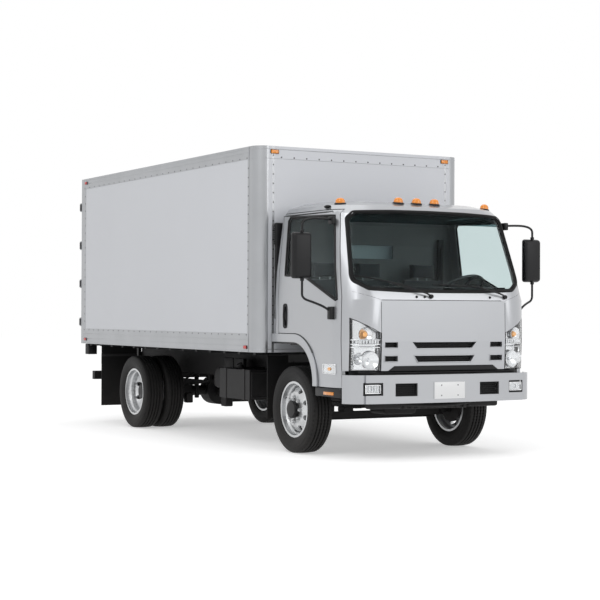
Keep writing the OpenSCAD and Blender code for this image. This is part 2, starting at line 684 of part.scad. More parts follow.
module cab_frame() color(silver) place() {
    difference() {
        cab_shell();
        door_region(0);
        windshield_cut();
        both_sides() headlight_prism(panel_hw - eps);
        block([-panel_hw, -1400, 0], [panel_hw, -900, panel_z1]);
        below_front();
        block([-1200, -1400, roof_z], [1200, 500, 3000]);
        back_region();
        both_sides() along_x(0, 1100) arch_outline(flare_r - flare_w);
        both_sides() along_x(0, 1100) translate([door_front, 0]) square([600, door_bottom]);
    }
    both_sides() along_x(cab_hw - 50, cab_hw + flare_proud) difference() {
        arch_outline(flare_r);
        arch_outline(flare_r - flare_w);
        translate([-1400, 0]) square([3000, door_bottom]);
        translate([cab_back_y, 0]) square([500, 2000]);
    }
}
module cab_roof() color(silver) place() intersection() {
    cab_shell();
    block([-1200, -1400, roof_z], [1200, 500, 3000]);
}
// Rear window: half width, low and high edge
rear_window = [310, 1845, 2118];
module cab_back() color(silver) place() difference() {
    intersection() {
        cab_shape(0);
        back_region();
    }
    block([-rear_window[0], 0, rear_window[1]], [rear_window[0], 500, rear_window[2]]);
}
// Air slots of the front panel: low z, high z, half width at the top, half width at the bottom, taper
slot_rows = [[995, 1056, 352, 300], [872, 934, 330, 290]];
side_slot = [500, 640];
module front_panel() color(silver) place() difference() {
    intersection() {
        cab_shell();
        block([-panel_hw, -1400, panel_z0], [panel_hw, -900, panel_z1]);
    }
    for (row = slot_rows) {
        along_y(-1400, -900) polygon([[-row[2], row[1]], [-row[3], row[0]], [row[3], row[0]], [row[2], row[1]]]);
        both_sides() block([side_slot[0], -1400, row[0] + 8], [side_slot[1], -900, row[1]]);
    }
}
module headlights() color(lamp_clear) place() both_sides() intersection() {
    cab_shell();
    headlight_prism(panel_hw + 6);
}
module cab_windows() color(glass_grey) place() {
    intersection() {
        difference() { cab_shape(10); cab_shape(10 + glass_t); }
        windshield_cut();
    }
    block([-rear_window[0], cab_back_y - 20 - glass_t, rear_window[1]],
          [rear_window[0], cab_back_y - 20, rear_window[2]]);
}
floor_hw = 965;
well_hw = 940;
well_z = 665;
toe_hw = 640;
tunnel_hw = 490;
tunnel_z = 920;
well_back = -450;
module cab_floor() color(trim_grey) place() {
    block([-floor_hw, well_back - pan_t, deck_z - pan_t], [floor_hw, cab_back_y - panel_t, deck_z]);
    both_sides() block([tunnel_hw - pan_t, well_back - pan_t, well_z], [well_hw, well_back, deck_z]);
    block([-tunnel_hw, well_back - pan_t, tunnel_z - pan_t], [tunnel_hw, well_back, deck_z]);
    block([-tunnel_hw, -1000, tunnel_z - pan_t], [tunnel_hw, well_back, tunnel_z]);
    both_sides() {
        block([tunnel_hw - pan_t, -890, well_z], [well_hw, well_back, well_z + pan_t]);
        block([tunnel_hw - pan_t, -890, well_z], [tunnel_hw, well_back, tunnel_z]);
        block([tunnel_hw - pan_t, -890 - pan_t, well_z], [well_hw - 40, -890, tunnel_z]);
    }
    block([-toe_hw, -1000, tunnel_z - pan_t], [toe_hw, -890, tunnel_z]);
    block([-toe_hw, -1000, tunnel_z], [toe_hw, -1000 + pan_t, dash_z0]);
    // lugs on the tilt pins
    both_sides() difference() {
        block([rail_x1 - 50, -tilt_y - 22, tilt_z - 22], [rail_x1 - 26, -tilt_y + 22, tunnel_z - pan_t + eps]);
        translate([0, -tilt_y, tilt_z]) disc_x(0, 1000, 12.5);
    }
}
dash_z0 = 1250;
dash_z1 = 1490;
dash_hw = 890;
// Depth of the steering wheel's hub below its rim
hub_drop = 30;
// Length of the steering column down to the dashboard
column_len = 265;
module dashboard() color(trim_grey) place() {
    along_x(-dash_hw, dash_hw) polygon([[-860, dash_z0], [-720, dash_z0], [-690, 1330], [-740, 1440],
                                        [-800, dash_z1], [-860, dash_z1]]);
    along_x(-toe_hw, toe_hw) polygon([[-1000, dash_z0], [-860, dash_z0], [-860, dash_z1], [-950, dash_z1],
                                      [-1000, 1430]]);
    bar(steer_at - steer_dir * column_len, steer_at - steer_dir * (hub_drop + seat_gap), 26);
}
seat_z = deck_z + seat_gap;
// Seats: middle x, half width
seat_table = [[530, 250], [-330, 470]];
module seats() color(trim_grey) place() for (s = seat_table) {
    block([s[0] - s[1], -390, seat_z], [s[0] + s[1], 130, seat_z + 160]);
    block([s[0] - s[1], 20, seat_z + 150], [s[0] + s[1], 150, 1800]);
}
steer_x = 540;
steer_at = [steer_x, -600, 1560];
steer_dir = [0, sin(steering_lean), cos(steering_lean)];
module steering_wheel() color(rubber_black) place() translate(steer_at) rotate([-steering_lean, 0, 0]) {
    rotate_extrude() translate([steering_r - 15, 0]) circle(r = 15);
    translate([0, 0, -hub_drop]) cylinder(h = 34, r = 45);
    for (a = [0, 180, 270]) rotate([0, 0, a]) block([30, -18, -14], [steering_r - 18, 18, -4]);
}
// Roof lamps: x of the middle, y, and drop from the highest lamp
roof_lamp_table = [[0, -612, 0], [200, -612, 2], [800, -575, 62]];
module roof_lamp(x, y, drop) {
    translate([x, y, 2318 - drop]) cylinder(h = 50, r = 42);
}
module roof_lamps() color(amber) place() difference() {
    union() {
        for (row = roof_lamp_table) {
            roof_lamp(row[0], row[1], row[2]);
            if (row[0] > 0) roof_lamp(-row[0], row[1], row[2]);
        }
    }
    cab_shape(0);
}

// ---- cab doors ----
module door() difference() {
    intersection() {
        cab_shell();
        along_x(820, 1100) door_outline(door_gap);
    }
    along_x(820, 1100) door_window_outline();
}
module door_glass() intersection() {
    difference() { cab_shape(14); cab_shape(14 + glass_t); }
    along_x(820, 1100) door_window_outline();
}
// Mirror on two bent arms from the door's front edge
mirror_y = -700;
mirror_z = 1822;
upper_foot = [955, -690, 2150];
lower_foot = [1040, -810, 1320];
module door_mirror() {
    block([mirror_x - mirror_w / 2, mirror_y - mirror_t / 2, mirror_z - mirror_h / 2],
          [mirror_x + mirror_w / 2, mirror_y + mirror_t / 2, mirror_z + mirror_h / 2]);
    for (route = [[upper_foot, [1130, -720, 2160], [mirror_x, mirror_y - 40, 2090],
                   [mirror_x, mirror_y - 40, mirror_z]],
                  [lower_foot, [1160, -780, 1400], [mirror_x, mirror_y - 40, 1480],
                   [mirror_x, mirror_y - 40, mirror_z]]])
        for (k = [0 : 2]) {
            bar(route[k], route[k + 1], mirror_arm_r);
            if (k < 2) translate(route[k + 1]) sphere(r = mirror_arm_r + 1.5);
        }
    difference() {
        union() {
            bar(upper_foot - [45, 0, 0], upper_foot + [12, 0, 0], 26);
            bar(lower_foot - [70, 0, 0], lower_foot + [12, 0, 0], 32);
        }
        cab_shape(-seat_gap);
    }
}
module door_left() color(silver) place() door();
module door_right() color(silver) place() mirror([1, 0, 0]) door();
module door_glass_left() color(glass_grey) place() door_glass();
module door_glass_right() color(glass_grey) place() mirror([1, 0, 0]) door_glass();
module mirror_left() color(rubber_black) place() door_mirror();
module mirror_right() color(rubber_black) place() mirror([1, 0, 0]) door_mirror();

chassis_frame();
leaf_springs();
front_axle();
rear_axle();
driveshaft();
engine();
exhaust();
fuel_tank();
battery_box();
front_bumper();
mudguards();
box_floor();
box_side_walls();
box_front_wall();
box_roof();
rear_frame();
rear_bumper();
box_lamps();
rear_door_left();
rear_door_right();
knuckle_left();
knuckle_right();
tie_rod();
front_tyre_left();
front_tyre_right();
front_rim_left();
front_rim_right();
rear_tyres_left();
rear_tyres_right();
rear_rims_left();
rear_rims_right();
cab_floor();
cab_frame();
cab_back();
cab_roof();
front_panel();
headlights();
cab_windows();
dashboard();
seats();
steering_wheel();
roof_lamps();
door_left();
door_right();
door_glass_left();
door_glass_right();
mirror_left();
mirror_right();
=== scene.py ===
import json
import math
import bpy
import bmesh
from mathutils import Matrix, Vector
from mathutils.bvhtree import BVHTree


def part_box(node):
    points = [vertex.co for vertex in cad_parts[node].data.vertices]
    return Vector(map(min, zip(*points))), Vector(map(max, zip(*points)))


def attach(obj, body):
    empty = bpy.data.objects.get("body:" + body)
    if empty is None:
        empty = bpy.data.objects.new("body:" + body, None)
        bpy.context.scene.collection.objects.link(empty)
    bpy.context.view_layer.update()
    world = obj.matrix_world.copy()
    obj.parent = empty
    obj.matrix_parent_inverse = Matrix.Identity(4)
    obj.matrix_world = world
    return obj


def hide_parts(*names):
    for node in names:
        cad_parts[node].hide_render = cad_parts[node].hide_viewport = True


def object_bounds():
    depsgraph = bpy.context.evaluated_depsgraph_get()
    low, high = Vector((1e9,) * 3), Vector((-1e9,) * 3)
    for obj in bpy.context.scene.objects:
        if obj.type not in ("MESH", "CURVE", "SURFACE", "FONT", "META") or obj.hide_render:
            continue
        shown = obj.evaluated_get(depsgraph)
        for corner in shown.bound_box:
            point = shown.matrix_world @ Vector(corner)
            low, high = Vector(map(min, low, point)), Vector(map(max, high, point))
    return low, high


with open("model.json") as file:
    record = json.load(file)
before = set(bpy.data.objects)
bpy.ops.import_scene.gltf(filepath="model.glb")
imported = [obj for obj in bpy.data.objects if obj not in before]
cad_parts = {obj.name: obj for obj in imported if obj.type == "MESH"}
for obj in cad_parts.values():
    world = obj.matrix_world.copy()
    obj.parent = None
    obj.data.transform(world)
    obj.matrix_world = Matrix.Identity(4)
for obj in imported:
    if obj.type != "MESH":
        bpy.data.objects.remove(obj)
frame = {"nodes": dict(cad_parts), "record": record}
cadLow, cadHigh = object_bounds()
nodes = frame["nodes"]
print("frame loaded")

# The row frame in metres: -Y is the front, +X the left side, Z up from the ground
tyreLow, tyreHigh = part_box("front_tyre_left")
axleY = (tyreLow[1] + tyreHigh[1]) / 2
wheelZ = (tyreLow[2] + tyreHigh[2]) / 2
tyreRadius = (tyreHigh[2] - tyreLow[2]) / 2
rearLow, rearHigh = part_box("rear_tyres_left")
rearAxleY = (rearLow[1] + rearHigh[1]) / 2
wallLow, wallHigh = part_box("box_side_walls")
frontWallLow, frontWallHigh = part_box("box_front_wall")
boxFront = frontWallLow[1]
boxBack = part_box("rear_frame")[0][1]
boxHalf = frontWallHigh[0]


def joinInto(bm, part, material=0, matrix=None):
    if matrix is not None:
        bmesh.ops.transform(part, matrix=matrix, verts=part.verts)
    for face in part.faces:
        face.material_index = material
    mesh = bpy.data.meshes.new("part")
    part.to_mesh(mesh)
    part.free()
    bm.from_mesh(mesh)
    bpy.data.meshes.remove(mesh)


def bevelAll(part, width, segments=2, angle=0.5):
    sharp = [e for e in part.edges if len(e.link_faces) == 2 and e.calc_face_angle(0) > angle]
    bmesh.ops.bevel(part, geom=sharp, offset=width, offset_type="OFFSET", segments=segments,
                    profile=0.5, affect="EDGES", clamp_overlap=True, material=-1)


def blockInto(bm, low, high, material=0, bevel=0.0, segments=2, matrix=None):
    part = bmesh.new()
    bmesh.ops.create_cube(part, size=1)
    size = [max(high[i] - low[i], 1e-5) for i in range(3)]
    middle = [(high[i] + low[i]) / 2 for i in range(3)]
    bmesh.ops.scale(part, vec=size, verts=part.verts)
    bmesh.ops.translate(part, vec=middle, verts=part.verts)
    if bevel > 0:
        bevelAll(part, bevel, segments)
    joinInto(bm, part, material, matrix)


def turnTo(direction):
    return Vector(direction).normalized().to_track_quat("Z", "Y").to_matrix().to_4x4()


def rodInto(bm, start, end, radius, material=0, endRadius=None, segments=24, bevel=0.0):
    start, end = Vector(start), Vector(end)
    part = bmesh.new()
    bmesh.ops.create_cone(part, cap_ends=True, segments=segments, radius1=radius,
                          radius2=radius if endRadius is None else endRadius,
                          depth=(end - start).length)
    if bevel > 0:
        bevelAll(part, bevel, 2, 0.8)
    joinInto(bm, part, material, Matrix.Translation((start + end) / 2) @ turnTo(end - start))


def ballInto(bm, centre, radii, material=0, segments=20, rings=12):
    part = bmesh.new()
    bmesh.ops.create_uvsphere(part, u_segments=segments, v_segments=rings, radius=1)
    bmesh.ops.scale(part, vec=radii, verts=part.verts)
    joinInto(bm, part, material, Matrix.Translation(centre))


def prismInto(bm, outline, direction, depth, material=0, bevel=0.0, segments=2):
    # outline is a closed row of points in space; it is extruded by depth along direction.
    part = bmesh.new()
    face = part.faces.new([part.verts.new(p) for p in outline])
    made = bmesh.ops.extrude_face_region(part, geom=[face])
    moved = [v for v in made["geom"] if isinstance(v, bmesh.types.BMVert)]
    bmesh.ops.translate(part, vec=Vector(direction).normalized() * depth, verts=moved)
    bmesh.ops.recalc_face_normals(part, faces=part.faces)
    if bevel > 0:
        bevelAll(part, bevel, segments)
    joinInto(bm, part, material)


def spinInto(bm, profile, centre, axis, material=0, steps=48):
    # profile holds (distance along the axis, radius); it turns fully about the axis through centre.
    part = bmesh.new()
    rim = [part.verts.new((r, 0, a)) for a, r in profile]
    edges = [part.edges.new((rim[i], rim[i + 1])) for i in range(len(rim) - 1)]
    bmesh.ops.spin(part, geom=rim + edges, cent=(0, 0, 0), axis=(0, 0, 1), angle=math.tau,
                   steps=steps, use_merge=True, use_duplicate=False)
    bmesh.ops.remove_doubles(part, verts=part.verts, dist=1e-5)
    bmesh.ops.recalc_face_normals(part, faces=part.faces)
    joinInto(bm, part, material, Matrix.Translation(centre) @ turnTo(axis))


def tubeInto(bm, points, radius, material=0, closed=False, smooth=True, sides=6):
    curve = bpy.data.curves.new("path", "CURVE")
    curve.dimensions = "3D"
    curve.bevel_depth = radius
    curve.bevel_resolution = max(sides // 2 - 1, 1)
    curve.use_fill_caps = not closed
    curve.resolution_u = 6
    spline = curve.splines.new("NURBS" if smooth else "POLY")
    spline.points.add(len(points) - 1)
    for place, point in zip(spline.points, points):
        place.co = (*point, 1)
    spline.use_cyclic_u = closed
    if smooth:
        spline.order_u = 3
        spline.use_endpoint_u = not closed
    carrier = bpy.data.objects.new("path", curve)
    bpy.context.scene.collection.objects.link(carrier)
    graph = bpy.context.evaluated_depsgraph_get()
    mesh = bpy.data.meshes.new_from_object(carrier.evaluated_get(graph))
    part = bmesh.new()
    part.from_mesh(mesh)
    bpy.data.objects.remove(carrier)
    bpy.data.meshes.remove(mesh)
    bmesh.ops.recalc_face_normals(part, faces=part.faces)
    joinInto(bm, part, material)


def mirrorInto(bm, build):
    # Calls build(bm) and adds its mirror image across the middle of the truck.
    part = bmesh.new()
    build(part)
    mesh = bpy.data.meshes.new("half")
    part.to_mesh(mesh)
    bmesh.ops.scale(part, vec=(-1, 1, 1), verts=part.verts)
    bmesh.ops.reverse_faces(part, faces=part.faces)
    other = bpy.data.meshes.new("half")
    part.to_mesh(other)
    part.free()
    bm.from_mesh(mesh)
    bm.from_mesh(other)
    bpy.data.meshes.remove(mesh)
    bpy.data.meshes.remove(other)


def finishPiece(name, bm, body, materials, smoothAngle=35):
    mesh = bpy.data.meshes.new(name)
    bm.to_mesh(mesh)
    bm.free()
    piece = bpy.data.objects.new(name, mesh)
    bpy.context.scene.collection.objects.link(piece)
    for material in materials:
        mesh.materials.append(finish[material])
    mesh.shade_smooth()
    mesh.set_sharp_from_angle(angle=math.radians(smoothAngle))
    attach(piece, body)
    return piece


def bodyOf(node):
    for body, members in frame["record"]["behaviour"]["bodies"].items():
        if node in members:
            return body


def smoothCopy(node, finishes, angle=24, bevel=0.0, reshape=None, paint=None):
    # A merged copy of a CAD node, shaded smooth across its small facets, that stands for it.
    bm = bmesh.new()
    bm.from_mesh(nodes[node].data)
    bmesh.ops.remove_doubles(bm, verts=bm.verts, dist=2e-5)
    bmesh.ops.dissolve_limit(bm, angle_limit=math.radians(0.4), verts=bm.verts, edges=bm.edges)
    bmesh.ops.triangulate(bm, faces=bm.faces)
    if bevel > 0:
        bmesh.ops.dissolve_limit(bm, angle_limit=math.radians(1.0), verts=bm.verts, edges=bm.edges)
    bmesh.ops.recalc_face_normals(bm, faces=bm.faces)
    if reshape:
        reshape(bm)
    for face in bm.faces:
        face.material_index = paint(face.calc_center_median(), face.normal) if paint else 0
    piece = finishPiece(node + "_skin", bm, bodyOf(node), finishes.split(), angle)
    if bevel > 0:
        edge = piece.modifiers.new("edge", "BEVEL")
        edge.width = bevel
        edge.segments = 2
        edge.limit_method = "ANGLE"
        edge.angle_limit = math.radians(40)
        edge.harden_normals = True
    normals = piece.modifiers.new("normals", "WEIGHTED_NORMAL")
    normals.keep_sharp = True
    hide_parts(node)
    return piece


finish = {}


def nodeGroup(name, inputs, outputs):
    group = bpy.data.node_groups.new(name, "ShaderNodeTree")
    for label, kind, value in inputs:
        socket = group.interface.new_socket(name=label, in_out="INPUT", socket_type=kind)
        socket.default_value = value
    for label, kind in outputs:
        group.interface.new_socket(name=label, in_out="OUTPUT", socket_type=kind)
    enter = group.nodes.new("NodeGroupInput")
    leave = group.nodes.new("NodeGroupOutput")
    return group, enter, leave


def addNode(tree, kind, values=None, **links):
    node = tree.nodes.new(kind)
    for key, value in (values or {}).items():
        if hasattr(node, key):
            setattr(node, key, value)
        else:
            node.inputs[key].default_value = value
    for key, source in links.items():
        tree.links.new(source, node.inputs[key.replace("_", " ")])
    return node


def mathNode(tree, operation, first, second, clamp=False):
    node = tree.nodes.new("ShaderNodeMath")
    node.operation = operation
    node.use_clamp = clamp
    for slot, value in zip(node.inputs, (first, second)):
        if isinstance(value, (int, float)):
            slot.default_value = value
        else:
            tree.links.new(value, slot)
    return node.outputs[0]


def mixColour(tree, factor, first, second):
    node = tree.nodes.new("ShaderNodeMix")
    node.data_type = "RGBA"
    for slot, value in ((node.inputs[0], factor), (node.inputs[6], first), (node.inputs[7], second)):
        if isinstance(value, (int, float)):
            slot.default_value = value
        elif isinstance(value, (tuple, list)):
            slot.default_value = (*value[:3], 1)
        else:
            tree.links.new(value, slot)
    return node.outputs[2]


def makeGrainGroup():
    # Mottled colour and a fine surface height from two noises.
    group, enter, leave = nodeGroup("fineGrain", [
        ("Scale", "NodeSocketFloat", 40.0), ("Stretch", "NodeSocketVector", (1, 1, 1)),
        ("Mottle Scale", "NodeSocketFloat", 3.0)],
        [("Height", "NodeSocketFloat"), ("Mottle", "NodeSocketFloat")])
    place = addNode(group, "ShaderNodeTexCoord")
    mapping = group.nodes.new("ShaderNodeMapping")
    group.links.new(place.outputs["Object"], mapping.inputs["Vector"])
    group.links.new(enter.outputs["Stretch"], mapping.inputs["Scale"])
    fine = addNode(group, "ShaderNodeTexNoise", {"Detail": 4.0, "Roughness": 0.6},
                   Vector=mapping.outputs[0], Scale=enter.outputs["Scale"])
    broad = addNode(group, "ShaderNodeTexNoise", {"Detail": 3.0}, Vector=place.outputs["Object"],
                    Scale=enter.outputs["Mottle Scale"])
    group.links.new(fine.outputs[0], leave.inputs["Height"])
    group.links.new(broad.outputs[0], leave.inputs["Mottle"])
    return group


def makeDustGroup():
    # A road-dust mask: strong near the ground, broken up by noise, gone above the given height.
    group, enter, leave = nodeGroup("roadDust", [
        ("Amount", "NodeSocketFloat", 0.3), ("Top", "NodeSocketFloat", 1.0)],
        [("Mask", "NodeSocketFloat")])
    place = addNode(group, "ShaderNodeTexCoord")
    split = addNode(group, "ShaderNodeSeparateXYZ", Vector=place.outputs["Object"])
    fall = mathNode(group, "DIVIDE", split.outputs["Z"], enter.outputs["Top"])
    low = mathNode(group, "SUBTRACT", 1.0, fall, True)
    noise = addNode(group, "ShaderNodeTexNoise", {"Scale": 6.0, "Detail": 6.0, "Roughness": 0.65},
                    Vector=place.outputs["Object"])
    broken = mathNode(group, "MULTIPLY", low, noise.outputs[0])
    mask = mathNode(group, "MULTIPLY", broken, enter.outputs["Amount"], True)
    group.links.new(mask, leave.inputs["Mask"])
    return group


grainGroup = makeGrainGroup()
dustGroup = makeDustGroup()


def makeFinish(name, colour, rough, metallic=0.0, coat=0.0, grain=60.0, depth=0.05, mottle=0.08,
               stretch=(1, 1, 1), mottleScale=3.0, dust=0.0, dustTop=1.0, roughVary=0.1, bump=0.001,
               transmission=0.0, glow=0.0, sheen=0.0, ior=1.45, thinShadow=False, gloss=0.5):
    material = bpy.data.materials.new(name)
    material.use_nodes = True
    tree = material.node_tree
    shader = tree.nodes["Principled BSDF"]
    grainNode = tree.nodes.new("ShaderNodeGroup")
    grainNode.node_tree = grainGroup
    grainNode.inputs["Scale"].default_value = grain
    grainNode.inputs["Stretch"].default_value = stretch
    grainNode.inputs["Mottle Scale"].default_value = mottleScale
    darker = [c * (1 - mottle) for c in colour]
    lighter = [min(c * (1 + mottle), 1) for c in colour]
    base = mixColour(tree, grainNode.outputs["Mottle"], darker, lighter)
    roughness = mathNode(tree, "MULTIPLY_ADD", grainNode.outputs["Height"], roughVary)
    roughness.node.inputs[2].default_value = rough - roughVary / 2
    if dust > 0:
        dustNode = tree.nodes.new("ShaderNodeGroup")
        dustNode.node_tree = dustGroup
        dustNode.inputs["Amount"].default_value = dust
        dustNode.inputs["Top"].default_value = dustTop
        base = mixColour(tree, dustNode.outputs["Mask"], base, (0.26, 0.23, 0.20))
        roughness = mathNode(tree, "ADD", roughness, dustNode.outputs["Mask"], True)
    tree.links.new(base, shader.inputs["Base Color"])
    tree.links.new(roughness, shader.inputs["Roughness"])
    bumpNode = addNode(tree, "ShaderNodeBump", {"Strength": depth, "Distance": bump},
                       Height=grainNode.outputs["Height"])
    tree.links.new(bumpNode.outputs[0], shader.inputs["Normal"])
    shader.inputs["Metallic"].default_value = metallic
    shader.inputs["Coat Weight"].default_value = coat
    shader.inputs["Coat Roughness"].default_value = 0.06
    shader.inputs["IOR"].default_value = ior
    shader.inputs["Specular IOR Level"].default_value = gloss
    shader.inputs["Transmission Weight"].default_value = transmission
    shader.inputs["Sheen Weight"].default_value = sheen
    if glow > 0:
        shader.inputs["Emission Color"].default_value = (*colour, 1)
        shader.inputs["Emission Strength"].default_value = glow
    if thinShadow:
        path = tree.nodes.new("ShaderNodeLightPath")
        clear = addNode(tree, "ShaderNodeBsdfTransparent", {"Color": (*[c ** 0.5 for c in colour], 1)})
        mix = tree.nodes.new("ShaderNodeMixShader")
        tree.links.new(path.outputs["Is Shadow Ray"], mix.inputs[0])
        tree.links.new(shader.outputs[0], mix.inputs[1])
        tree.links.new(clear.outputs[0], mix.inputs[2])
        tree.links.new(mix.outputs[0], tree.nodes["Material Output"].inputs["Surface"])
    finish[name] = material


def makeFinishes():
    makeFinish("cabSilver", (0.425, 0.435, 0.455), 0.34, 0.72, 0.7, grain=420, depth=0.05, mottle=0.03,
               mottleScale=1.5, dust=0.12, dustTop=0.9, roughVary=0.06, bump=0.0004)
    makeFinish("boxWhite", (0.645, 0.66, 0.695), 0.36, 0.0, 0.15, grain=7, depth=0.12, mottle=0.025,
               mottleScale=0.8, dust=0.05, dustTop=1.6, bump=0.004)
    makeFinish("railAluminium", (0.42, 0.43, 0.445), 0.38, 0.85, 0.0, grain=55, depth=0.16, mottle=0.10,
               stretch=(6, 0.6, 6), mottleScale=4, dust=0.08, dustTop=1.3, bump=0.0006)
    makeFinish("postAluminium", (0.40, 0.41, 0.425), 0.30, 0.9, 0.0, grain=55, depth=0.14, mottle=0.09,
               stretch=(6, 6, 0.5), mottleScale=3, dust=0.06, dustTop=1.4, bump=0.0006)
    # dark steel for rivets, bolts and latches: its near-black colour is painted shade, standing for the
    # shadow round each rivet head
    makeFinish("rivetSteel", (0.07, 0.07, 0.075), 0.45, 0.5, grain=200, mottle=0.15, mottleScale=30)
    makeFinish("chassisBlack", (0.010, 0.010, 0.011), 0.55, gloss=0.3, grain=120, depth=0.2,
               mottle=0.35, mottleScale=9, dust=0.10, dustTop=0.9)
    makeFinish("satinBlack", (0.008, 0.008, 0.009), 0.36, gloss=0.32, grain=500, depth=0.25,
               mottle=0.15, mottleScale=12, bump=0.0006)
    makeFinish("sealRubber", (0.006, 0.006, 0.0065), 0.55, gloss=0.25, grain=250, depth=0.1,
               mottle=0.2, mottleScale=10)
    makeFinish("tyreRubber", (0.010, 0.010, 0.0105), 0.60, gloss=0.28, grain=160, depth=0.25,
               mottle=0.25, mottleScale=8, dust=0.10, dustTop=0.8)
    makeFinish("rimSilver", (0.60, 0.61, 0.62), 0.33, 0.85, 0.2, grain=90, depth=0.08, mottle=0.07,
               mottleScale=7, dust=0.12, dustTop=0.7)
    makeFinish("castIron", (0.035, 0.035, 0.037), 0.6, 0.3, gloss=0.3, grain=140, depth=0.5, mottle=0.3,
               mottleScale=14, dust=0.2)
    makeFinish("chrome", (0.80, 0.81, 0.83), 0.08, 1.0, grain=20, depth=0.02,
               mottle=0.02, roughVary=0.03)
    makeFinish("lampBowl", (0.72, 0.73, 0.74), 0.16, 1.0, grain=30, depth=0.1,
               mottle=0.05, roughVary=0.05)
    makeFinish("lampGrey", (0.34, 0.345, 0.35), 0.30, 0.7, grain=100, depth=0.1, mottle=0.1)
    makeFinish("clearLens", (0.97, 0.975, 0.98), 0.02, coat=0.3, grain=12, depth=0.02, mottle=0.0,
               roughVary=0.01, transmission=1.0, ior=1.25, thinShadow=True)
    makeFinish("amberLens", (0.92, 0.30, 0.012), 0.16, coat=0.8, grain=240, depth=0.3, mottle=0.12,
               mottleScale=30, transmission=0.25, glow=0.12)
    makeFinish("bulbAmber", (0.85, 0.40, 0.10), 0.25, coat=0.5, grain=60, depth=0.1, glow=0.05)
    makeFinish("redLens", (0.55, 0.012, 0.010), 0.16, coat=0.8, grain=240, depth=0.3, mottle=0.12,
               mottleScale=30, glow=0.05)
    makeFinish("windowGlass", (0.76, 0.83, 0.83), 0.0, grain=3, depth=0.0, mottle=0.01, mottleScale=1,
               roughVary=0.0, transmission=1.0, ior=1.10, thinShadow=True)
    makeFinish("bandGlass", (0.14, 0.22, 0.23), 0.0, grain=3, depth=0.0, mottle=0.02, roughVary=0.0,
               transmission=1.0, ior=1.10, thinShadow=True)
    makeFinish("mirrorGlass", (0.72, 0.75, 0.77), 0.03, 1.0, grain=5, depth=0.01,
               mottle=0.01, roughVary=0.01)
    makeFinish("cabTrim", (0.045, 0.048, 0.050), 0.65, gloss=0.3, grain=420, depth=0.35,
               mottle=0.1, mottleScale=8)
    makeFinish("trimPale", (0.15, 0.156, 0.16), 0.65, grain=300, depth=0.25, mottle=0.06, mottleScale=6)
    makeFinish("seatCloth", (0.040, 0.043, 0.047), 0.9, grain=600, depth=0.6, mottle=0.22,
               mottleScale=60, sheen=0.35, bump=0.0012)
    makeFinish("floorWood", (0.30, 0.19, 0.10), 0.6, grain=26, depth=0.3, mottle=0.3,
               stretch=(9, 0.5, 3), mottleScale=3)
    makeFinish("plateWhite", (0.84, 0.845, 0.85), 0.3, coat=0.4, grain=200, depth=0.04, mottle=0.02)
    makeFinish("flapRubber", (0.008, 0.008, 0.0085), 0.6, gloss=0.25, grain=90, depth=0.4, mottle=0.2,
               dust=0.1, dustTop=0.8)
    makeFinish("dialFace", (0.02, 0.02, 0.022), 0.3, coat=0.6, grain=80, mottle=0.1)


makeFinishes()
cadFinishes = {"chassisBlack": "chassis_frame leaf_springs front_axle rear_axle driveshaft fuel_tank battery_box " "rear_bumper knuckle_left knuckle_right tie_rod", "castIron": "engine exhaust", "flapRubber": "mudguards", "boxWhite": "box_roof rear_door_left rear_door_right", "railAluminium": "rear_frame", "cabTrim": "cab_floor dashboard steering_wheel", "satinBlack": "mirror_left mirror_right", "amberLens": "box_lamps roof_lamps",}
for material, names in cadFinishes.items():
    for node in names.split():
        mesh = nodes[node].data
        mesh.materials.clear()
        mesh.materials.append(finish[material])
print("materials made")


camera = {"yaw": 29.031, "pitch": 0.627, "roll": 0.239, "place": (-7.9508, axleY - 12.7114, 1.3171),
          "lens": 93.03, "shiftY": -0.008}


def makeCamera():
    yaw, pitch, roll = (math.radians(camera[k]) for k in ("yaw", "pitch", "roll"))
    forward = Vector((math.sin(yaw) * math.cos(pitch), math.cos(yaw) * math.cos(pitch),
                      math.sin(pitch)))
    right = Vector((math.cos(yaw), -math.sin(yaw), 0))
    up = right.cross(forward)
    sideways = right * math.cos(roll) + up * math.sin(roll)
    upward = up * math.cos(roll) - right * math.sin(roll)
    data = bpy.data.cameras.new("view")
    data.lens = camera["lens"]
    data.shift_y = camera["shiftY"]
    eye = bpy.data.objects.new("view", data)
    bpy.context.scene.collection.objects.link(eye)
    turn = Matrix((sideways, upward, -forward)).transposed().to_4x4()
    eye.matrix_world = Matrix.Translation(camera["place"]) @ turn
    bpy.context.scene.camera = eye


def makeLamp(name, place, target, size, power):
    data = bpy.data.lights.new(name, "AREA")
    data.shape = "RECTANGLE"
    data.size, data.size_y = size
    data.energy = power
    lamp = bpy.data.objects.new(name, data)
    bpy.context.scene.collection.objects.link(lamp)
    aim = (Vector(place) - Vector(target)).normalized().to_track_quat("Z", "Y")
    lamp.matrix_world = Matrix.Translation(place) @ aim.to_matrix().to_4x4()


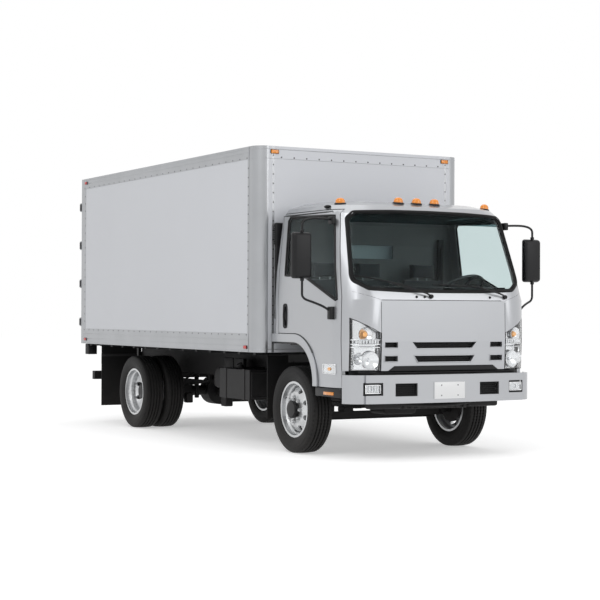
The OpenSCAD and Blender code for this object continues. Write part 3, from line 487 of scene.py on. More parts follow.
def makeStage():
    world = bpy.data.worlds.new("studio")
    bpy.context.scene.world = world
    world.use_nodes = True
    tree = world.node_tree
    background = tree.nodes["Background"]
    path = tree.nodes.new("ShaderNodeLightPath")
    seen = mathNode(tree, "MAXIMUM", path.outputs["Is Camera Ray"], path.outputs["Is Transmission Ray"])
    seen = mathNode(tree, "MAXIMUM", seen, path.outputs["Is Glossy Ray"])
    place = addNode(tree, "ShaderNodeTexCoord")
    split = addNode(tree, "ShaderNodeSeparateXYZ", Vector=place.outputs["Generated"])
    rise = mathNode(tree, "MULTIPLY_ADD", split.outputs["Z"], 0.30)
    rise.node.inputs[2].default_value = 0.50
    strength = mathNode(tree, "MAXIMUM", rise, seen)
    background.inputs["Color"].default_value = (1, 1, 1, 1)
    tree.links.new(strength, background.inputs["Strength"])
    floorBm = bmesh.new()
    bmesh.ops.create_grid(floorBm, x_segments=1, y_segments=1, size=60)
    mesh = bpy.data.meshes.new("floor")
    floorBm.to_mesh(mesh)
    floorBm.free()
    floor = bpy.data.objects.new("floor", mesh)
    bpy.context.scene.collection.objects.link(floor)
    material = bpy.data.materials.new("floorPale")
    material.use_nodes = True
    tree = material.node_tree
    shader = tree.nodes["Principled BSDF"]
    shader.inputs["Base Color"].default_value = (0.86, 0.86, 0.86, 1)
    shader.inputs["Roughness"].default_value = 0.9
    shader.inputs["Specular IOR Level"].default_value = 0.0
    path = tree.nodes.new("ShaderNodeLightPath")
    seen = mathNode(tree, "MAXIMUM", path.outputs["Is Camera Ray"], path.outputs["Is Glossy Ray"])
    seen = mathNode(tree, "MAXIMUM", seen, path.outputs["Is Transmission Ray"])
    glow = mathNode(tree, "MULTIPLY", seen, 0.42)
    tree.links.new(glow, shader.inputs["Emission Strength"])
    shader.inputs["Emission Color"].default_value = (1, 1, 1, 1)
    mesh.materials.append(material)
    makeLamp("keySoft", (-9, -8, 9), (0, 0, 1.2), (7, 5), 330)
    makeLamp("fillFront", (5, -12, 5), (0, -2, 1.2), (6, 5), 170)
    makeLamp("topSoft", (0, 1, 11), (0, 1, 0), (8, 10), 150)
    bpy.context.scene.view_settings.view_transform = "Standard"


makeCamera()
makeStage()
print("stage ready")


def makeTree(names):
    bm = bmesh.new()
    for name in names:
        bm.from_mesh(nodes[name].data)
    tree = BVHTree.FromBMesh(bm)
    bm.free()
    return tree


skinTree = makeTree(["cab_frame", "front_panel", "cab_windows", "headlights", "cab_roof", "door_left",
                     "door_right", "door_glass_left", "door_glass_right"])
bumperTree = makeTree(["front_bumper"])


def castOn(tree, origin, direction, nudges, out):
    # The surface point that a ray finds; where it falls into a gap, the surface just beside it serves.
    direction = Vector(direction)
    for nudge in nudges:
        hit, normal, _, _ = tree.ray_cast(Vector(origin) + Vector(nudge), direction)
        if hit is not None and normal.dot(direction) < -0.12:
            return hit - Vector(nudge) + normal * out
    hit, normal, _, _ = tree.find_nearest(Vector(origin) + direction * 2.9)
    return hit + normal * out


def nudgesOn(first, second):
    # No nudge, then small steps either way along the two axes of the surface.
    rows = [(0, 0, 0)]
    for step in (0.008, 0.016, 0.03):
        for axis in (first, second):
            for sign in (1, -1):
                rows.append(tuple(sign * step if i == axis else 0 for i in range(3)))
    return rows


frontNudges, sideNudges, roofNudges = nudgesOn(0, 2), nudgesOn(1, 2), nudgesOn(0, 1)


def onFront(x, z, out=0.0, tree=skinTree):
    return castOn(tree, (x, cadLow[1] - 2, z), (0, 1, 0), frontNudges, out)


def onSide(side, y, z, out=0.0, tree=skinTree):
    return castOn(tree, (side * 3.9, axleY + y, z), (-side, 0, 0), sideNudges, out)


def onRoof(x, y, out=0.0, tree=skinTree):
    return castOn(tree, (x, axleY + y, 5), (0, 0, -1), roofNudges, out)


def along(points, step, closed=True):
    # Points spaced by about step along a row of two-number corners.
    made = []
    count = len(points) if closed else len(points) - 1
    for i in range(count):
        a, b = Vector(points[i]), Vector(points[(i + 1) % len(points)])
        pieces = max(int((b - a).length / step), 1)
        made += [a.lerp(b, k / pieces) for k in range(pieces)]
    if not closed:
        made.append(Vector(points[-1]))
    return made


def bothHalves(half):
    # Closes a half outline, given from the middle of the bottom round to the middle of the top.
    return list(half) + [(-x, z) for x, z in reversed(half) if x > 0]


def patchInto(bm, outline, place, material=0, cell=0.03, thickness=0.0):
    # A convex outline of (u, v) points cut out of a grid and laid on a surface by place(u, v).
    low = [min(p[i] for p in outline) for i in (0, 1)]
    high = [max(p[i] for p in outline) for i in (0, 1)]
    part = bmesh.new()
    cells = [max(int((high[i] - low[i]) / cell), 1) for i in (0, 1)]
    bmesh.ops.create_grid(part, x_segments=cells[0], y_segments=cells[1], size=0.5)
    bmesh.ops.scale(part, vec=(high[0] - low[0], high[1] - low[1], 1), verts=part.verts)
    bmesh.ops.translate(part, vec=((high[0] + low[0]) / 2, (high[1] + low[1]) / 2, 0), verts=part.verts)
    area = sum(outline[i][0] * outline[(i + 1) % len(outline)][1]
               - outline[(i + 1) % len(outline)][0] * outline[i][1] for i in range(len(outline)))
    turn = 1 if area > 0 else -1
    for i, start in enumerate(outline):
        end = outline[(i + 1) % len(outline)]
        edge = (Vector(end) - Vector(start)) * turn
        bmesh.ops.bisect_plane(part, geom=part.verts[:] + part.edges[:] + part.faces[:],
                               plane_co=(*start, 0), plane_no=(edge.y, -edge.x, 0), clear_outer=True)
    bmesh.ops.remove_doubles(part, verts=part.verts, dist=0.002)
    for vert in part.verts:
        vert.co = place(vert.co.x, vert.co.y)
    bmesh.ops.dissolve_degenerate(part, dist=0.0005, edges=part.edges)
    bmesh.ops.recalc_face_normals(part, faces=part.faces)
    if thickness:
        bmesh.ops.solidify(part, geom=part.faces[:], thickness=thickness)
        bmesh.ops.recalc_face_normals(part, faces=part.faces)
    joinInto(bm, part, material)


def sinkPlatePad(bm):
    # Sets the pad for the plate back by the plate's thickness.
    front = min(v.co.y for v in bm.verts)
    for vert in bm.verts:
        if vert.co.y < front + 0.0005:
            vert.co.y += 0.0042


def makeCabSkin():
    middle = Vector((0, axleY - 0.32, 1.50))

    def paint(place, normal):
        # what faces the middle of the cab is trimmed, the rest is painted
        away = place - middle
        across = Vector((away.x, away.y * 1.2,
                         away.z * 1.2)) if place.z > 0.95 else Vector((away.x, 0, 0))
        return 1 if normal.dot(across) < 0 and place.z > 0.72 else 0
    for node in ("cab_frame", "cab_roof", "door_left", "door_right", "cab_back"):
        smoothCopy(node, "cabSilver trimPale", 26, paint=paint)
    smoothCopy("front_panel", "cabSilver", 26)
    smoothCopy("front_bumper", "cabSilver", 30, bevel=0.012, reshape=sinkPlatePad)
    for node in ("cab_windows", "door_glass_left", "door_glass_right"):
        smoothCopy(node, "windowGlass", 40)


makeCabSkin()
print("cab skin")

windshield = {"half": [(0, 1.507), (0.40, 1.509), (0.782, 1.524), (0.897, 1.596), (0.907, 1.64),
                       (0.851, 2.168), (0.79, 2.224), (0.40, 2.24), (0, 2.244)],
              "sealRadius": 0.014}


def makeWindshieldSeal():
    bm = bmesh.new()
    loop = [onFront(p.x, p.y, -0.003) for p in along(bothHalves(windshield["half"]), 0.04)]
    tubeInto(bm, loop, windshield["sealRadius"], closed=True, sides=10)
    inner = [(x * 0.977, 1.5 + (z - 1.5) * 0.965 + 0.012) for x, z in windshield["half"]]
    loop = [onFront(p.x, p.y, -0.002) for p in along(bothHalves(inner), 0.04)]
    tubeInto(bm, loop, 0.010, closed=True, sides=8)
    finishPiece("windshield_seal", bm, "cab", ["sealRubber"], 60)
    # tinted band along the top, behind the glass
    bm = bmesh.new()
    top = [(-0.80, 2.205), (-0.838, 2.13), (0.838, 2.13), (0.80, 2.205), (0.40, 2.222), (-0.40, 2.222)]
    patchInto(bm, top, lambda x, z: onFront(x, z, -0.0085), 0, 0.06, 0.002)
    finishPiece("sun_band", bm, "cab", ["bandGlass"], 60)


def makePanelLines():
    # Dark shut lines round the front panel and the cowl above it.
    bm = bmesh.new()
    half = 0.670
    for side in (-1, 1):
        edge = [onFront(side * (half + 0.003), z, -0.002) for z in [0.81 + 0.04 * k for k in range(16)]]
        tubeInto(bm, edge, 0.0035, smooth=False, sides=4)
    top = [onFront(-half + 0.05 * k, 1.4285, -0.002) for k in range(int(2 * half / 0.05) + 1)]
    tubeInto(bm, top, 0.0035, smooth=False, sides=4)
    # the line under the cowl runs on round the corners to the doors
    for side in (-1, 1):
        line = [onFront(side * x, 1.4285 + (x - half) * 0.30, -0.002)
                for x in [half + 0.02 * k for k in range(14)]]
        tubeInto(bm, line, 0.0026, smooth=False, sides=4)
    finishPiece("panel_lines", bm, "cab", ["sealRubber"], 60)


grille = {"rows": [(0.995, 1.056, 0.352, 0.300), (0.872, 0.934, 0.330, 0.290)], "side": (0.500, 0.640)}


def makeGrille():
    bm = bmesh.new()
    back = [(-0.66, 0.86), (0.66, 0.86), (0.66, 1.07), (-0.66, 1.07)]
    patchInto(bm, back, lambda x, z: onFront(x, 1.2, -0.045) + Vector((0, 0, z - 1.2)), 0, 0.05, 0.004)
    for low, high, _, _ in grille["rows"]:
        # two fins across each slot and a fine row of uprights
        for k in (1, 2):
            z = low + (high - low) * k / 3
            fin = [onFront(-0.64 + 0.04 * i, 1.2, -0.026) + Vector((0, 0, z - 1.2)) for i in range(33)]
            tubeInto(bm, fin, 0.0045, smooth=False, sides=6)
        for i in range(43):
            x = -0.63 + 0.03 * i
            top = onFront(x, 1.2, -0.031) + Vector((0, 0, high - 1.2))
            rodInto(bm, top, top - Vector((0, 0, high - low)), 0.0025, segments=6)
    intake = [(-0.60, 0.798), (0.60, 0.798), (0.535, 0.842), (-0.535, 0.842)]
    patchInto(bm, intake, lambda x,
              z: onFront(x, max(z, 0.803), 0.0015) + Vector((0, 0, min(z - 0.803, 0))), 0, 0.04, 0.003)
    finishPiece("grille_insert", bm, "cab", ["satinBlack"], 40)
    bm = bmesh.new()
    # rounded lips that line the slots
    for low, high, topHalf, lowHalf in grille["rows"]:
        outlines = [[(-topHalf, high), (-lowHalf, low), (lowHalf, low), (topHalf, high)]]
        a, b = grille["side"]
        for side in (-1, 1):
            outlines.append([(side * a, low + 0.008), (side * b, low + 0.008), (side * b, high),
                             (side * a, high)])
        for outline in outlines:
            lip = [onFront(p.x, 1.2, -0.001) + Vector((0, 0, p.y - 1.2)) for p in along(outline, 0.05)]
            tubeInto(bm, lip, 0.005, closed=True, smooth=False, sides=8)
    # the shadowed channel between cab and bumper, filled below with a dark tube as painted shade
    channel = [onFront(-0.62 + 0.04 * i, 1.2, -0.05) + Vector((0, 0, 0.78 - 1.2)) for i in range(32)]
    finishPiece("slot_lips", bm, "cab", ["cabSilver"], 60)
    bm = bmesh.new()
    # painted shade: satin black tubes along the channel and round its ends
    tubeInto(bm, channel, 0.018, smooth=False, sides=8)
    for side in (-1, 1):
        ends = [onFront(side * (0.62 + 0.03 * i), 0.9,
                        -0.05) + Vector((0, 0, 0.778 - 0.9)) for i in range(10)]
        tubeInto(bm, ends, 0.018, smooth=False, sides=8)
    finishPiece("bumper_gap_painted_shade", bm, "cab", ["satinBlack"], 60)


headlight = {"outline": [(0.678, 0.802), (0.940, 0.802), (0.940, 1.268), (0.678, 1.135)],
             "main": (0.778, 0.893, 0.074), "beam": (0.882, 0.905, 0.046),
             "turn": (0.822, 1.122, 0.058), "strip": (1.035, 1.075), "divider": 1.008}


def makeHeadlight(side):
    def place(out):
        return lambda x, z: onFront(x, min(max(z, 0.806), 1.262), out) + Vector(
            (0, 0, z - min(max(z, 0.806), 1.262)))
    name = "left" if side > 0 else "right"
    outline = [(side * x, z) for x, z in headlight["outline"]]
    bm = bmesh.new()
    patchInto(bm, outline, place(-0.050), 0, 0.03, 0.004)
    for kind in ("main", "beam", "turn"):
        x, z, radius = headlight[kind]
        face = onFront(side * x, z, -0.016)
        turn = Vector((-side * 0.22, 1, 0))
        spinInto(bm, [(0.034, 0.006), (0.030, radius * 0.35), (0.018, radius * 0.72), (0.004, radius),
                      (0.0, radius * 1.07), (0.004, radius * 1.12)], face, turn, 0, 40)
        ballInto(bm, face + turn.normalized() * 0.020,
                 (0.024, 0.016, 0.024) if kind == "turn" else (0.012, 0.012, 0.012),
                 2 if kind == "turn" else 3, 14, 8)
        rodInto(bm, face + turn.normalized() * 0.022, face + turn.normalized() * 0.042,
                0.011, 0, segments=16)
    # stepped reflector strips: one across under the indicator, and fluted rows round the lamps
    x0, x1 = headlight["outline"][0][0], headlight["outline"][1][0]
    for z in (headlight["divider"], headlight["strip"][0], headlight["strip"][1]):
        row = [onFront(side * (x0 + (x1 - x0) * k / 10), z, -0.012) for k in range(11)]
        tubeInto(bm, row, 0.0055, 0, smooth=False, sides=6)
    for k in range(13):
        z = 0.822 + k * 0.014
        for a, b in ((x0 + 0.008, 0.700), (0.925, x1 - 0.004)):
            tubeInto(bm, [onFront(side * (a + (b - a) * t / 3), z, -0.026) for t in range(4)], 0.0055,
                     0, smooth=False, sides=6)
    for k in range(9):
        x = x0 + 0.022 + k * 0.028
        a, b = onFront(side * x, 1.042, -0.022), onFront(side * x, 1.070, -0.022)
        rodInto(bm, a, b, 0.010, 0, segments=10)
    finishPiece("headlight_bowl_" + name, bm, "cab",
                ["lampBowl", "lampGrey", "bulbAmber", "clearLens", "amberLens"], 50)
    bm = bmesh.new()
    patchInto(bm, outline, place(-0.001), 0, 0.03, 0.003)
    lens = finishPiece("headlight_lens_" + name, bm, "cab", ["clearLens"], 60)
    bm = bmesh.new()
    rim = [place(-0.002)(p.x, p.y) for p in along(outline, 0.03)]
    tubeInto(bm, rim, 0.003, closed=True, smooth=False, sides=6)
    finishPiece("headlight_rim_" + name, bm, "cab", ["sealRubber"], 60)
    return lens


makeWindshieldSeal()
makePanelLines()
makeGrille()
lenses = [makeHeadlight(side) for side in (-1, 1)]
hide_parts("headlights")
print("front of the cab")


bumper = {"fog": (0.775, 0.092, 0.585, 0.697), "intake": (0.450, 0.112, 0.575, 0.690),
          "plate": (0.165, 0.546, 0.697), "boltX": 0.0889, "boltZ": (0.576, 0.668)}


def makeBumperFittings():
    def place(out):
        # the face on the level of its plain part, carried down to the openings
        return lambda x, z: onFront(x, 0.740, out, bumperTree) + Vector((0, 0, z - 0.740))
    for side in (-1, 1):
        name = "left" if side > 0 else "right"
        x, half, low, high = bumper["fog"]
        outline = [(side * x - half, low), (side * x + half, low), (side * x + half, high),
                   (side * x - half, high)]
        bm = bmesh.new()
        patchInto(bm, outline, place(-0.036), 1, 0.03, 0.004)
        rim = [place(-0.012)(p.x, p.y) for p in along(outline, 0.03)]
        tubeInto(bm, rim, 0.006, 1, closed=True, smooth=False, sides=8)
        inner = [(side * x - half * 0.78, low + 0.020), (side * x + half * 0.78, low + 0.020),
                 (side * x + half * 0.78, high - 0.020), (side * x - half * 0.78, high - 0.020)]
        frameLoop = [place(-0.016)(p.x, p.y) for p in along(inner, 0.03)]
        tubeInto(bm, frameLoop, 0.006, 0, closed=True, smooth=False, sides=8)
        for k in range(9):
            u = side * x - half * 0.66 + k * half * 0.165
            tubeInto(bm, [place(-0.030)(u, low + 0.024), place(-0.030)(u, high - 0.024)], 0.0075, 0,
                     smooth=False, sides=8)
        middle = place(-0.030)(side * x, (low + high) / 2)
        ballInto(bm, middle, (0.020, 0.012, 0.020), 2, 16, 10)
        patchInto(bm, inner, place(-0.012), 2, 0.03, 0.0025)
        finishPiece("fog_lamp_" + name, bm, "chassis",
                    ["lampBowl", "satinBlack", "clearLens"], 50)
        bm = bmesh.new()
        x, half, low, high = bumper["intake"]
        outline = [(side * x - half, low), (side * x + half, low), (side * x + half, high),
                   (side * x - half, high)]
        patchInto(bm, outline, place(-0.060), 0, 0.03, 0.004)
        for k in range(1, 6):
            z = low + (high - low) * k / 6
            tubeInto(bm, [place(-0.030)(side * x - half + half * 0.25 * t, z) for t in range(9)], 0.004,
                     smooth=False, sides=6)
        for k in range(1, 10):
            u = side * x - half + half * 2 * k / 10
            tubeInto(bm, [place(-0.034)(u, low), place(-0.034)(u, high)], 0.0035, smooth=False, sides=6)
        rim = [place(-0.020)(p.x, p.y) for p in along(outline, 0.03)]
        tubeInto(bm, rim, 0.009, closed=True, smooth=False, sides=8)
        finishPiece("bumper_intake_" + name, bm, "chassis", ["satinBlack"], 50)
    bm = bmesh.new()
    half, low, high = bumper["plate"]
    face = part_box("front_bumper")[0][1]
    blockInto(bm, (-half, face + 0.0012, low), (half, face + 0.0045, high), 0, 0.0012, 2)
    for z in bumper["boltZ"]:
        for x in (-bumper["boltX"], bumper["boltX"]):
            ballInto(bm, (x, face + 0.0017, z), (0.0068, 0.0015, 0.0068), 1, 14, 8)
    lip = [(-half + 0.004, low + 0.004), (half - 0.004, low + 0.004), (half - 0.004, high - 0.004),
           (-half + 0.004, high - 0.004)]
    tubeInto(bm, [(p.x, face + 0.0023, p.y) for p in along(lip, 0.1)], 0.0022, 0,
             closed=True, smooth=False)
    finishPiece("number_plate", bm, "chassis", ["plateWhite", "rivetSteel"], 40)


makeBumperFittings()
print("bumper fittings")


wipers = [{"pivot": (-0.144, 1.462), "elbow": (-0.50, 1.556), "tip": (-0.875, 1.640)},
          {"pivot": (0.675, 1.462), "elbow": (0.36, 1.548), "tip": (-0.102, 1.568)}]


def makeWipers():
    bm = bmesh.new()
    for w in wipers:
        px, pz = w["pivot"]
        base = onFront(px, pz)
        spinInto(bm, [(0.030, 0.001), (0.029, 0.012), (0.022, 0.018), (0.0, 0.021)], base,
                 (0, -1, 0.12), 0, 20)
        path = [base + Vector((0, -0.024, 0)), onFront(px * 0.9 + w["elbow"][0] * 0.1,
                                                       pz + 0.012, 0.030)]
        ex, ez = w["elbow"]
        tx, tz = w["tip"]
        for t in (0.3, 0.6, 1.0):
            path.append(onFront(px + (ex - px) * t, pz + (ez - pz) * t, 0.042 if t < 1 else 0.034))
        tubeInto(bm, path, 0.0075, sides=8)
        half = 0.31
        start = (ex + half * 0.55, ez - 0.010) if w is wipers[0] else (0.45, 1.545)
        end = (tx, tz) if w is wipers[0] else (-0.10, 1.572)
        blade = [onFront(start[0] + (end[0] - start[0]) * k / 10,
                         start[1] + (end[1] - start[1]) * k / 10, 0.0065) for k in range(11)]
        tubeInto(bm, blade, 0.0055, sides=6)
        spine = [p + Vector((0, -0.013, 0.003)) for p in blade[1:-1]]
        tubeInto(bm, spine, 0.0045, sides=6)
        for k in (2, 4, 6, 8):
            rodInto(bm, blade[k], blade[k] + Vector((0, -0.014, 0.003)), 0.005, segments=8)
        tubeInto(bm, [path[-1], path[-1].lerp(spine[4], 0.5) + Vector((0, -0.006, 0)),
                      spine[4]], 0.006, sides=6)
    for x in (-0.296, -0.21, 0.508):
        base = onFront(x, 1.458)
        spinInto(bm, [(0.014, 0.001), (0.013, 0.007), (0.006, 0.011), (0.0, 0.012)], base,
                 (0, -1, 0.1), 0, 16)
    finishPiece("wipers", bm, "cab", ["satinBlack"], 50)


makeWipers()
print("wipers")


doorSide = {"window": [(-0.861, 1.44), (-0.668, 2.185), (0.08, 2.205), (0.112, 2.17), (0.088, 1.662),
                       (-0.25, 1.656), (-0.84, 1.432)],
            "handle": (0.068, 1.281, 0.034, 0.112), "lamp": (-0.748, 0.812, 0.100, 0.042)}


def makeDoorFittings(side):
    name = "left" if side > 0 else "right"
    body = "door_" + name
    bm = bmesh.new()
    centre = Vector((-0.36, 1.86))
    window = [centre + (Vector(p) - centre) * 1.015 for p in doorSide["window"]]
    seal = [onSide(side, p.x, p.y, -0.002) for p in along(window, 0.04)]
    tubeInto(bm, seal, 0.010, closed=True, smooth=False, sides=8)
    # run channel inside the seal
    inner = [centre + (Vector(p) - centre) * 0.965 for p in doorSide["window"]]
    tubeInto(bm, [onSide(side, p.x, p.y, 0.002) for p in along(inner, 0.04)], 0.007, closed=True,
             smooth=False, sides=6)
    y, z, halfY, halfZ = doorSide["handle"]
    corners = []
    for k in range(24):
        a = math.tau * k / 24
        c, s = math.cos(a), math.sin(a)
        corners.append((y + halfY * math.copysign(abs(c) ** 0.6, c),
                        z + halfZ * math.copysign(abs(s) ** 0.35, s)))
    patchInto(bm, corners, lambda u, v: onSide(side, u, v, 0.0015), 0, 0.02, 0.006)
    rim = [onSide(side, u, v, 0.003) for u, v in corners]
    tubeInto(bm, rim, 0.005, closed=True, sides=6)
    grip = [onSide(side, y, z + d, 0.006 + 0.012 * (1 - (d / 0.09) ** 2)) for d in
            (-0.088, -0.05, 0.0, 0.05, 0.088)]
    tubeInto(bm, grip, 0.010, sides=10)
    rodInto(bm, onSide(side, y, z - 0.098, -0.001), onSide(side, y, z - 0.098, 0.006),
            0.008, 1, segments=16)
    finishPiece("door_trim_" + name, bm, body, ["satinBlack", "rivetSteel"], 50)
    bm = bmesh.new()
    y, z, halfY, halfZ = doorSide["lamp"]
    outline = [(y - halfY, z - halfZ), (y + halfY, z - halfZ), (y + halfY, z + halfZ),
               (y - halfY, z + halfZ)]
    patchInto(bm, outline, lambda u, v: onSide(side, u, v, 0.001), 0, 0.03, 0.004)
    tubeInto(bm, [onSide(side, p.x, p.y, 0.004) for p in along(outline, 0.02)], 0.006, 0, closed=True,
             smooth=False, sides=8)
    lens = [(y + (u - y) * 0.9, z + (v - z) * 0.85) for u, v in outline]
    patchInto(bm, lens, lambda u, v: onSide(side, u, v, 0.006 + 0.010 * (1 - ((u - y) / halfY) ** 2)
                                            * (1 - ((v - z) / halfZ) ** 2)), 1, 0.012, 0.002)
    ballInto(bm, onSide(side, y - 0.01, z, 0.007), (0.006, 0.026, 0.015), 2, 16, 10)
    finishPiece("door_lamp_" + name, bm, body, ["lampBowl", "clearLens", "bulbAmber"], 50)
    # inner door card with its armrest
    bm = bmesh.new()
    wall = abs(onSide(side, -0.3, 1.25).x) - 0.042
    outline = [(-0.80, 0.90), (-0.46, 0.90), (-0.30, 1.14), (0.15, 1.14), (0.15, 1.60), (-0.26, 1.60),
               (-0.80, 1.40)]
    prismInto(bm, [(side * wall, axleY + u, v) for u, v in outline], (-side, 0, 0), 0.014, 0, 0.004)
    blockInto(bm, (side * (wall - 0.055) - 0.035, axleY - 0.62, 1.27),
              (side * (wall - 0.055) + 0.035, axleY - 0.12, 1.305), 0, 0.012, 3)
    finishPiece("door_card_" + name, bm, body, ["cabTrim"], 40)


mirror = {"x": 1.271, "y": -0.700, "z": 1.822, "half": (0.101, 0.036, 0.212), "armRadius": 0.0105}


def makeMirror(side):
    name = "left" if side > 0 else "right"
    m = mirror
    y = axleY + m["y"]
    bm = bmesh.new()
    part = bmesh.new()
    bmesh.ops.create_cube(part, size=1)
    hx, hy, hz = m["half"]
    bmesh.ops.scale(part, vec=(hx * 2, hy * 2, hz * 2), verts=part.verts)
    for vert in part.verts:  # the front narrows and rounds
        if vert.co.y < 0:
            vert.co.x *= 0.90
            vert.co.z *= 0.93
    bevelAll(part, 0.028, 5)
    joinInto(bm, part, 0, Matrix.Translation((side * m["x"], y, m["z"])))
    for sign in (-1, 1):  # collars where the arms enter the housing
        end = m["z"] + sign * (hz + 0.004)
        rodInto(bm, (side * m["x"], y - 0.012, end - 0.012), (side * m["x"], y - 0.012, end + 0.012),
                0.018, segments=20, bevel=0.003)
    armX, armY = side * m["x"], y - 0.012
    upper = [(side * 0.965, axleY - 0.690, 2.150), (side * 1.05, axleY - 0.700, 2.156),
             (side * 1.19, axleY - 0.710, 2.155), (armX, armY, 2.125), (armX, armY, 2.06),
             (armX, armY, 2.0)]
    lower = [(side * 1.045, axleY - 0.808, 1.330), (side * 1.075, axleY - 0.795, 1.36),
             (side * 1.17, axleY - 0.745, 1.405), (armX, armY, 1.44), (armX, armY, 1.52),
             (armX, armY, 1.64)]
    for path in (upper, lower):
        tubeInto(bm, path, m["armRadius"], sides=12)
    for low, high in (((0.936, -0.728, 2.108), (0.976, -0.652, 2.178)),
                      ((1.0, -0.838, 1.253), (1.056, -0.782, 1.368))):
        a, b = side * low[0], side * high[0]
        blockInto(bm, (min(a, b), axleY + low[1], low[2]), (max(a, b), axleY + high[1],
                                                            high[2]), 0, 0.009, 3)
    piece = finishPiece("mirror_body_" + name, bm, "door_" + name, ["satinBlack"], 50)
    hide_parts("mirror_" + name)
    bm = bmesh.new()
    blockInto(bm, (side * m["x"] - hx + 0.016, y + hy - 0.004, m["z"] - hz + 0.018),
              (side * m["x"] + hx - 0.016, y + hy - 0.0005, m["z"] + hz - 0.018), 0, 0.0015, 1)
    finishPiece("mirror_glass_" + name, bm, "door_" + name, ["mirrorGlass"], 50)


for side in (-1, 1):
    makeDoorFittings(side)
    makeMirror(side)
print("doors")


arch = {"y": -0.110, "z": 0.674, "inner": 0.364, "back": 0.305}


def makeArches():
    bm = bmesh.new()

    def halfArch(part):
        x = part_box("cab_frame")[1][0] - 0.012
        radius = arch["inner"] - 0.004
        row = [(x - 0.004, axleY + arch["y"] + radius * math.cos(a), arch["z"] + radius * math.sin(a))
               for a in [math.pi + 0.03 - k * (math.pi / 2) / 16 for k in range(17)]]
        row.append((x - 0.004, axleY + arch["back"], arch["z"] + radius))
        tubeInto(part, row, 0.013, smooth=False, sides=10)
        # black liner over the wheel
        radius = arch["inner"] - 0.010
        strip = bmesh.new()
        start = [strip.verts.new((x - 0.004, axleY + arch["y"] - radius, arch["z"] - 0.02)),
                 strip.verts.new((x - 0.300, axleY + arch["y"] - radius, arch["z"] - 0.02))]
        edge = [strip.edges.new(start)]
        bmesh.ops.spin(strip, geom=start + edge, cent=(x, axleY + arch["y"], arch["z"]), axis=(1, 0, 0),
                       angle=-math.pi * 0.60, steps=20, use_merge=False, use_duplicate=False)
        bmesh.ops.recalc_face_normals(strip, faces=strip.faces)
        bmesh.ops.solidify(strip, geom=strip.faces[:], thickness=0.006)
        joinInto(part, strip, 0)
        # sill under the door, in front of the wheel, and its mount
        blockInto(part, (0.955, axleY - 0.945, 0.560), (1.003, axleY - 0.480, 0.643), 0, 0.010, 3)
        blockInto(part, (0.80, axleY - 0.93, 0.60), (0.965, axleY - 0.50, 0.636), 0, 0.006, 2)
        blockInto(part, (1.0005, axleY - 0.815, 0.578), (1.008, axleY - 0.640, 0.606), 1, 0.003, 2)
    mirrorInto(bm, halfArch)
    finishPiece("arch_and_sill_trim", bm, "cab", ["satinBlack", "amberLens"], 45)


makeArches()
print("arches")

wheel = {"treadHalf": 0.089, "grooves": (-0.052, -0.0175, 0.0175, 0.052), "grooveHalf": 0.0045,
         "grooveDepth": 0.011, "steps": 168, "nutRadius": 0.0185, "nutLength": 0.026, "studs": 8,
         "studCircle": 0.112}


def tyreInto(bm, centre, side):
    # profile from one bead over the tread to the other
    w, top = wheel, tyreRadius

    def crown(a):
        return top - 0.55 * a * a
    half = [(0.0815, 0.2635), (0.0870, 0.2660), (0.0930, 0.2725), (0.0985, 0.2815), (0.0990, 0.2845),
            (0.1040, 0.2950), (0.1090, 0.3130), (0.1115, 0.3330), (0.1110, 0.3500), (0.1122, 0.3520),
            (0.1112, 0.3545), (0.1085, 0.3710), (0.1060, 0.3800), (0.1066, 0.3820), (0.1040, 0.3860),
            (0.0985, 0.3960), (0.0940, 0.4008)]
    profile = [(-a, r) for a, r in half] + [(-w["treadHalf"], crown(w["treadHalf"]))]
    for g in w["grooves"]:
        h, d = w["grooveHalf"], w["grooveDepth"]
        profile += [(g - h - 0.006, crown(g - h - 0.006)), (g - h, crown(g - h) - 0.0006),
                    (g - h * 0.6, crown(g) - d), (g + h * 0.6, crown(g) - d),
                    (g + h, crown(g + h) - 0.0006), (g + h + 0.006, crown(g + h + 0.006))]
    profile += [(w["treadHalf"], crown(w["treadHalf"]))] + [(a, r) for a, r in reversed(half)]
    part = bmesh.new()
    spinInto(part, profile, (0, 0, 0), (0, 0, 1), 0, w["steps"])
    # cross cuts: narrow notches in the ribs' edges and wider ones on the shoulders
    cut = []
    for face in part.faces:
        middle = face.calc_center_median()
        a, r = abs(middle.z), math.hypot(middle.x, middle.y)
        turn = math.degrees(math.atan2(middle.y, middle.x)) % 360
        place = int(turn / 360 * w["steps"])
        edgeOfRib = any(w["grooveHalf"] < abs(middle.z - g) < w["grooveHalf"] + 0.006 for g in w["grooves"])
        if r > 0.394 and ((edgeOfRib and place % 2 == 0) or (a > 0.0885 and a < 0.0985 and place % 3 == 0)):
            cut.append(face)
    bmesh.ops.inset_individual(part, faces=cut, thickness=0.0022, depth=0)
    for face in cut:
        for vert in face.verts:
            vert.co.x *= 0.9885
            vert.co.y *= 0.9885
    joinInto(bm, part, 0, Matrix.Translation(centre) @ turnTo((side, 0, 0)))


def nutInto(bm, base, axis, radius, length, material):
    part = bmesh.new()
    bmesh.ops.create_cone(part, cap_ends=True, segments=6, radius1=radius, radius2=radius, depth=length)
    bevelAll(part, 0.0018, 2, 0.6)
    place = Vector(base) + Vector(axis).normalized() * length / 2
    joinInto(bm, part, material, Matrix.Translation(place) @ turnTo(axis))
    spinInto(bm, [(0.0, radius * 1.22), (0.0025, radius * 1.20), (0.004, radius * 1.02)], base,
             axis, material, 20)
    spinInto(bm, [(length - 0.002, 0.0098), (length + 0.006, 0.0098), (length + 0.0075, 0.0078),
                  (length + 0.0075, 0.0)], base, axis, material, 16)


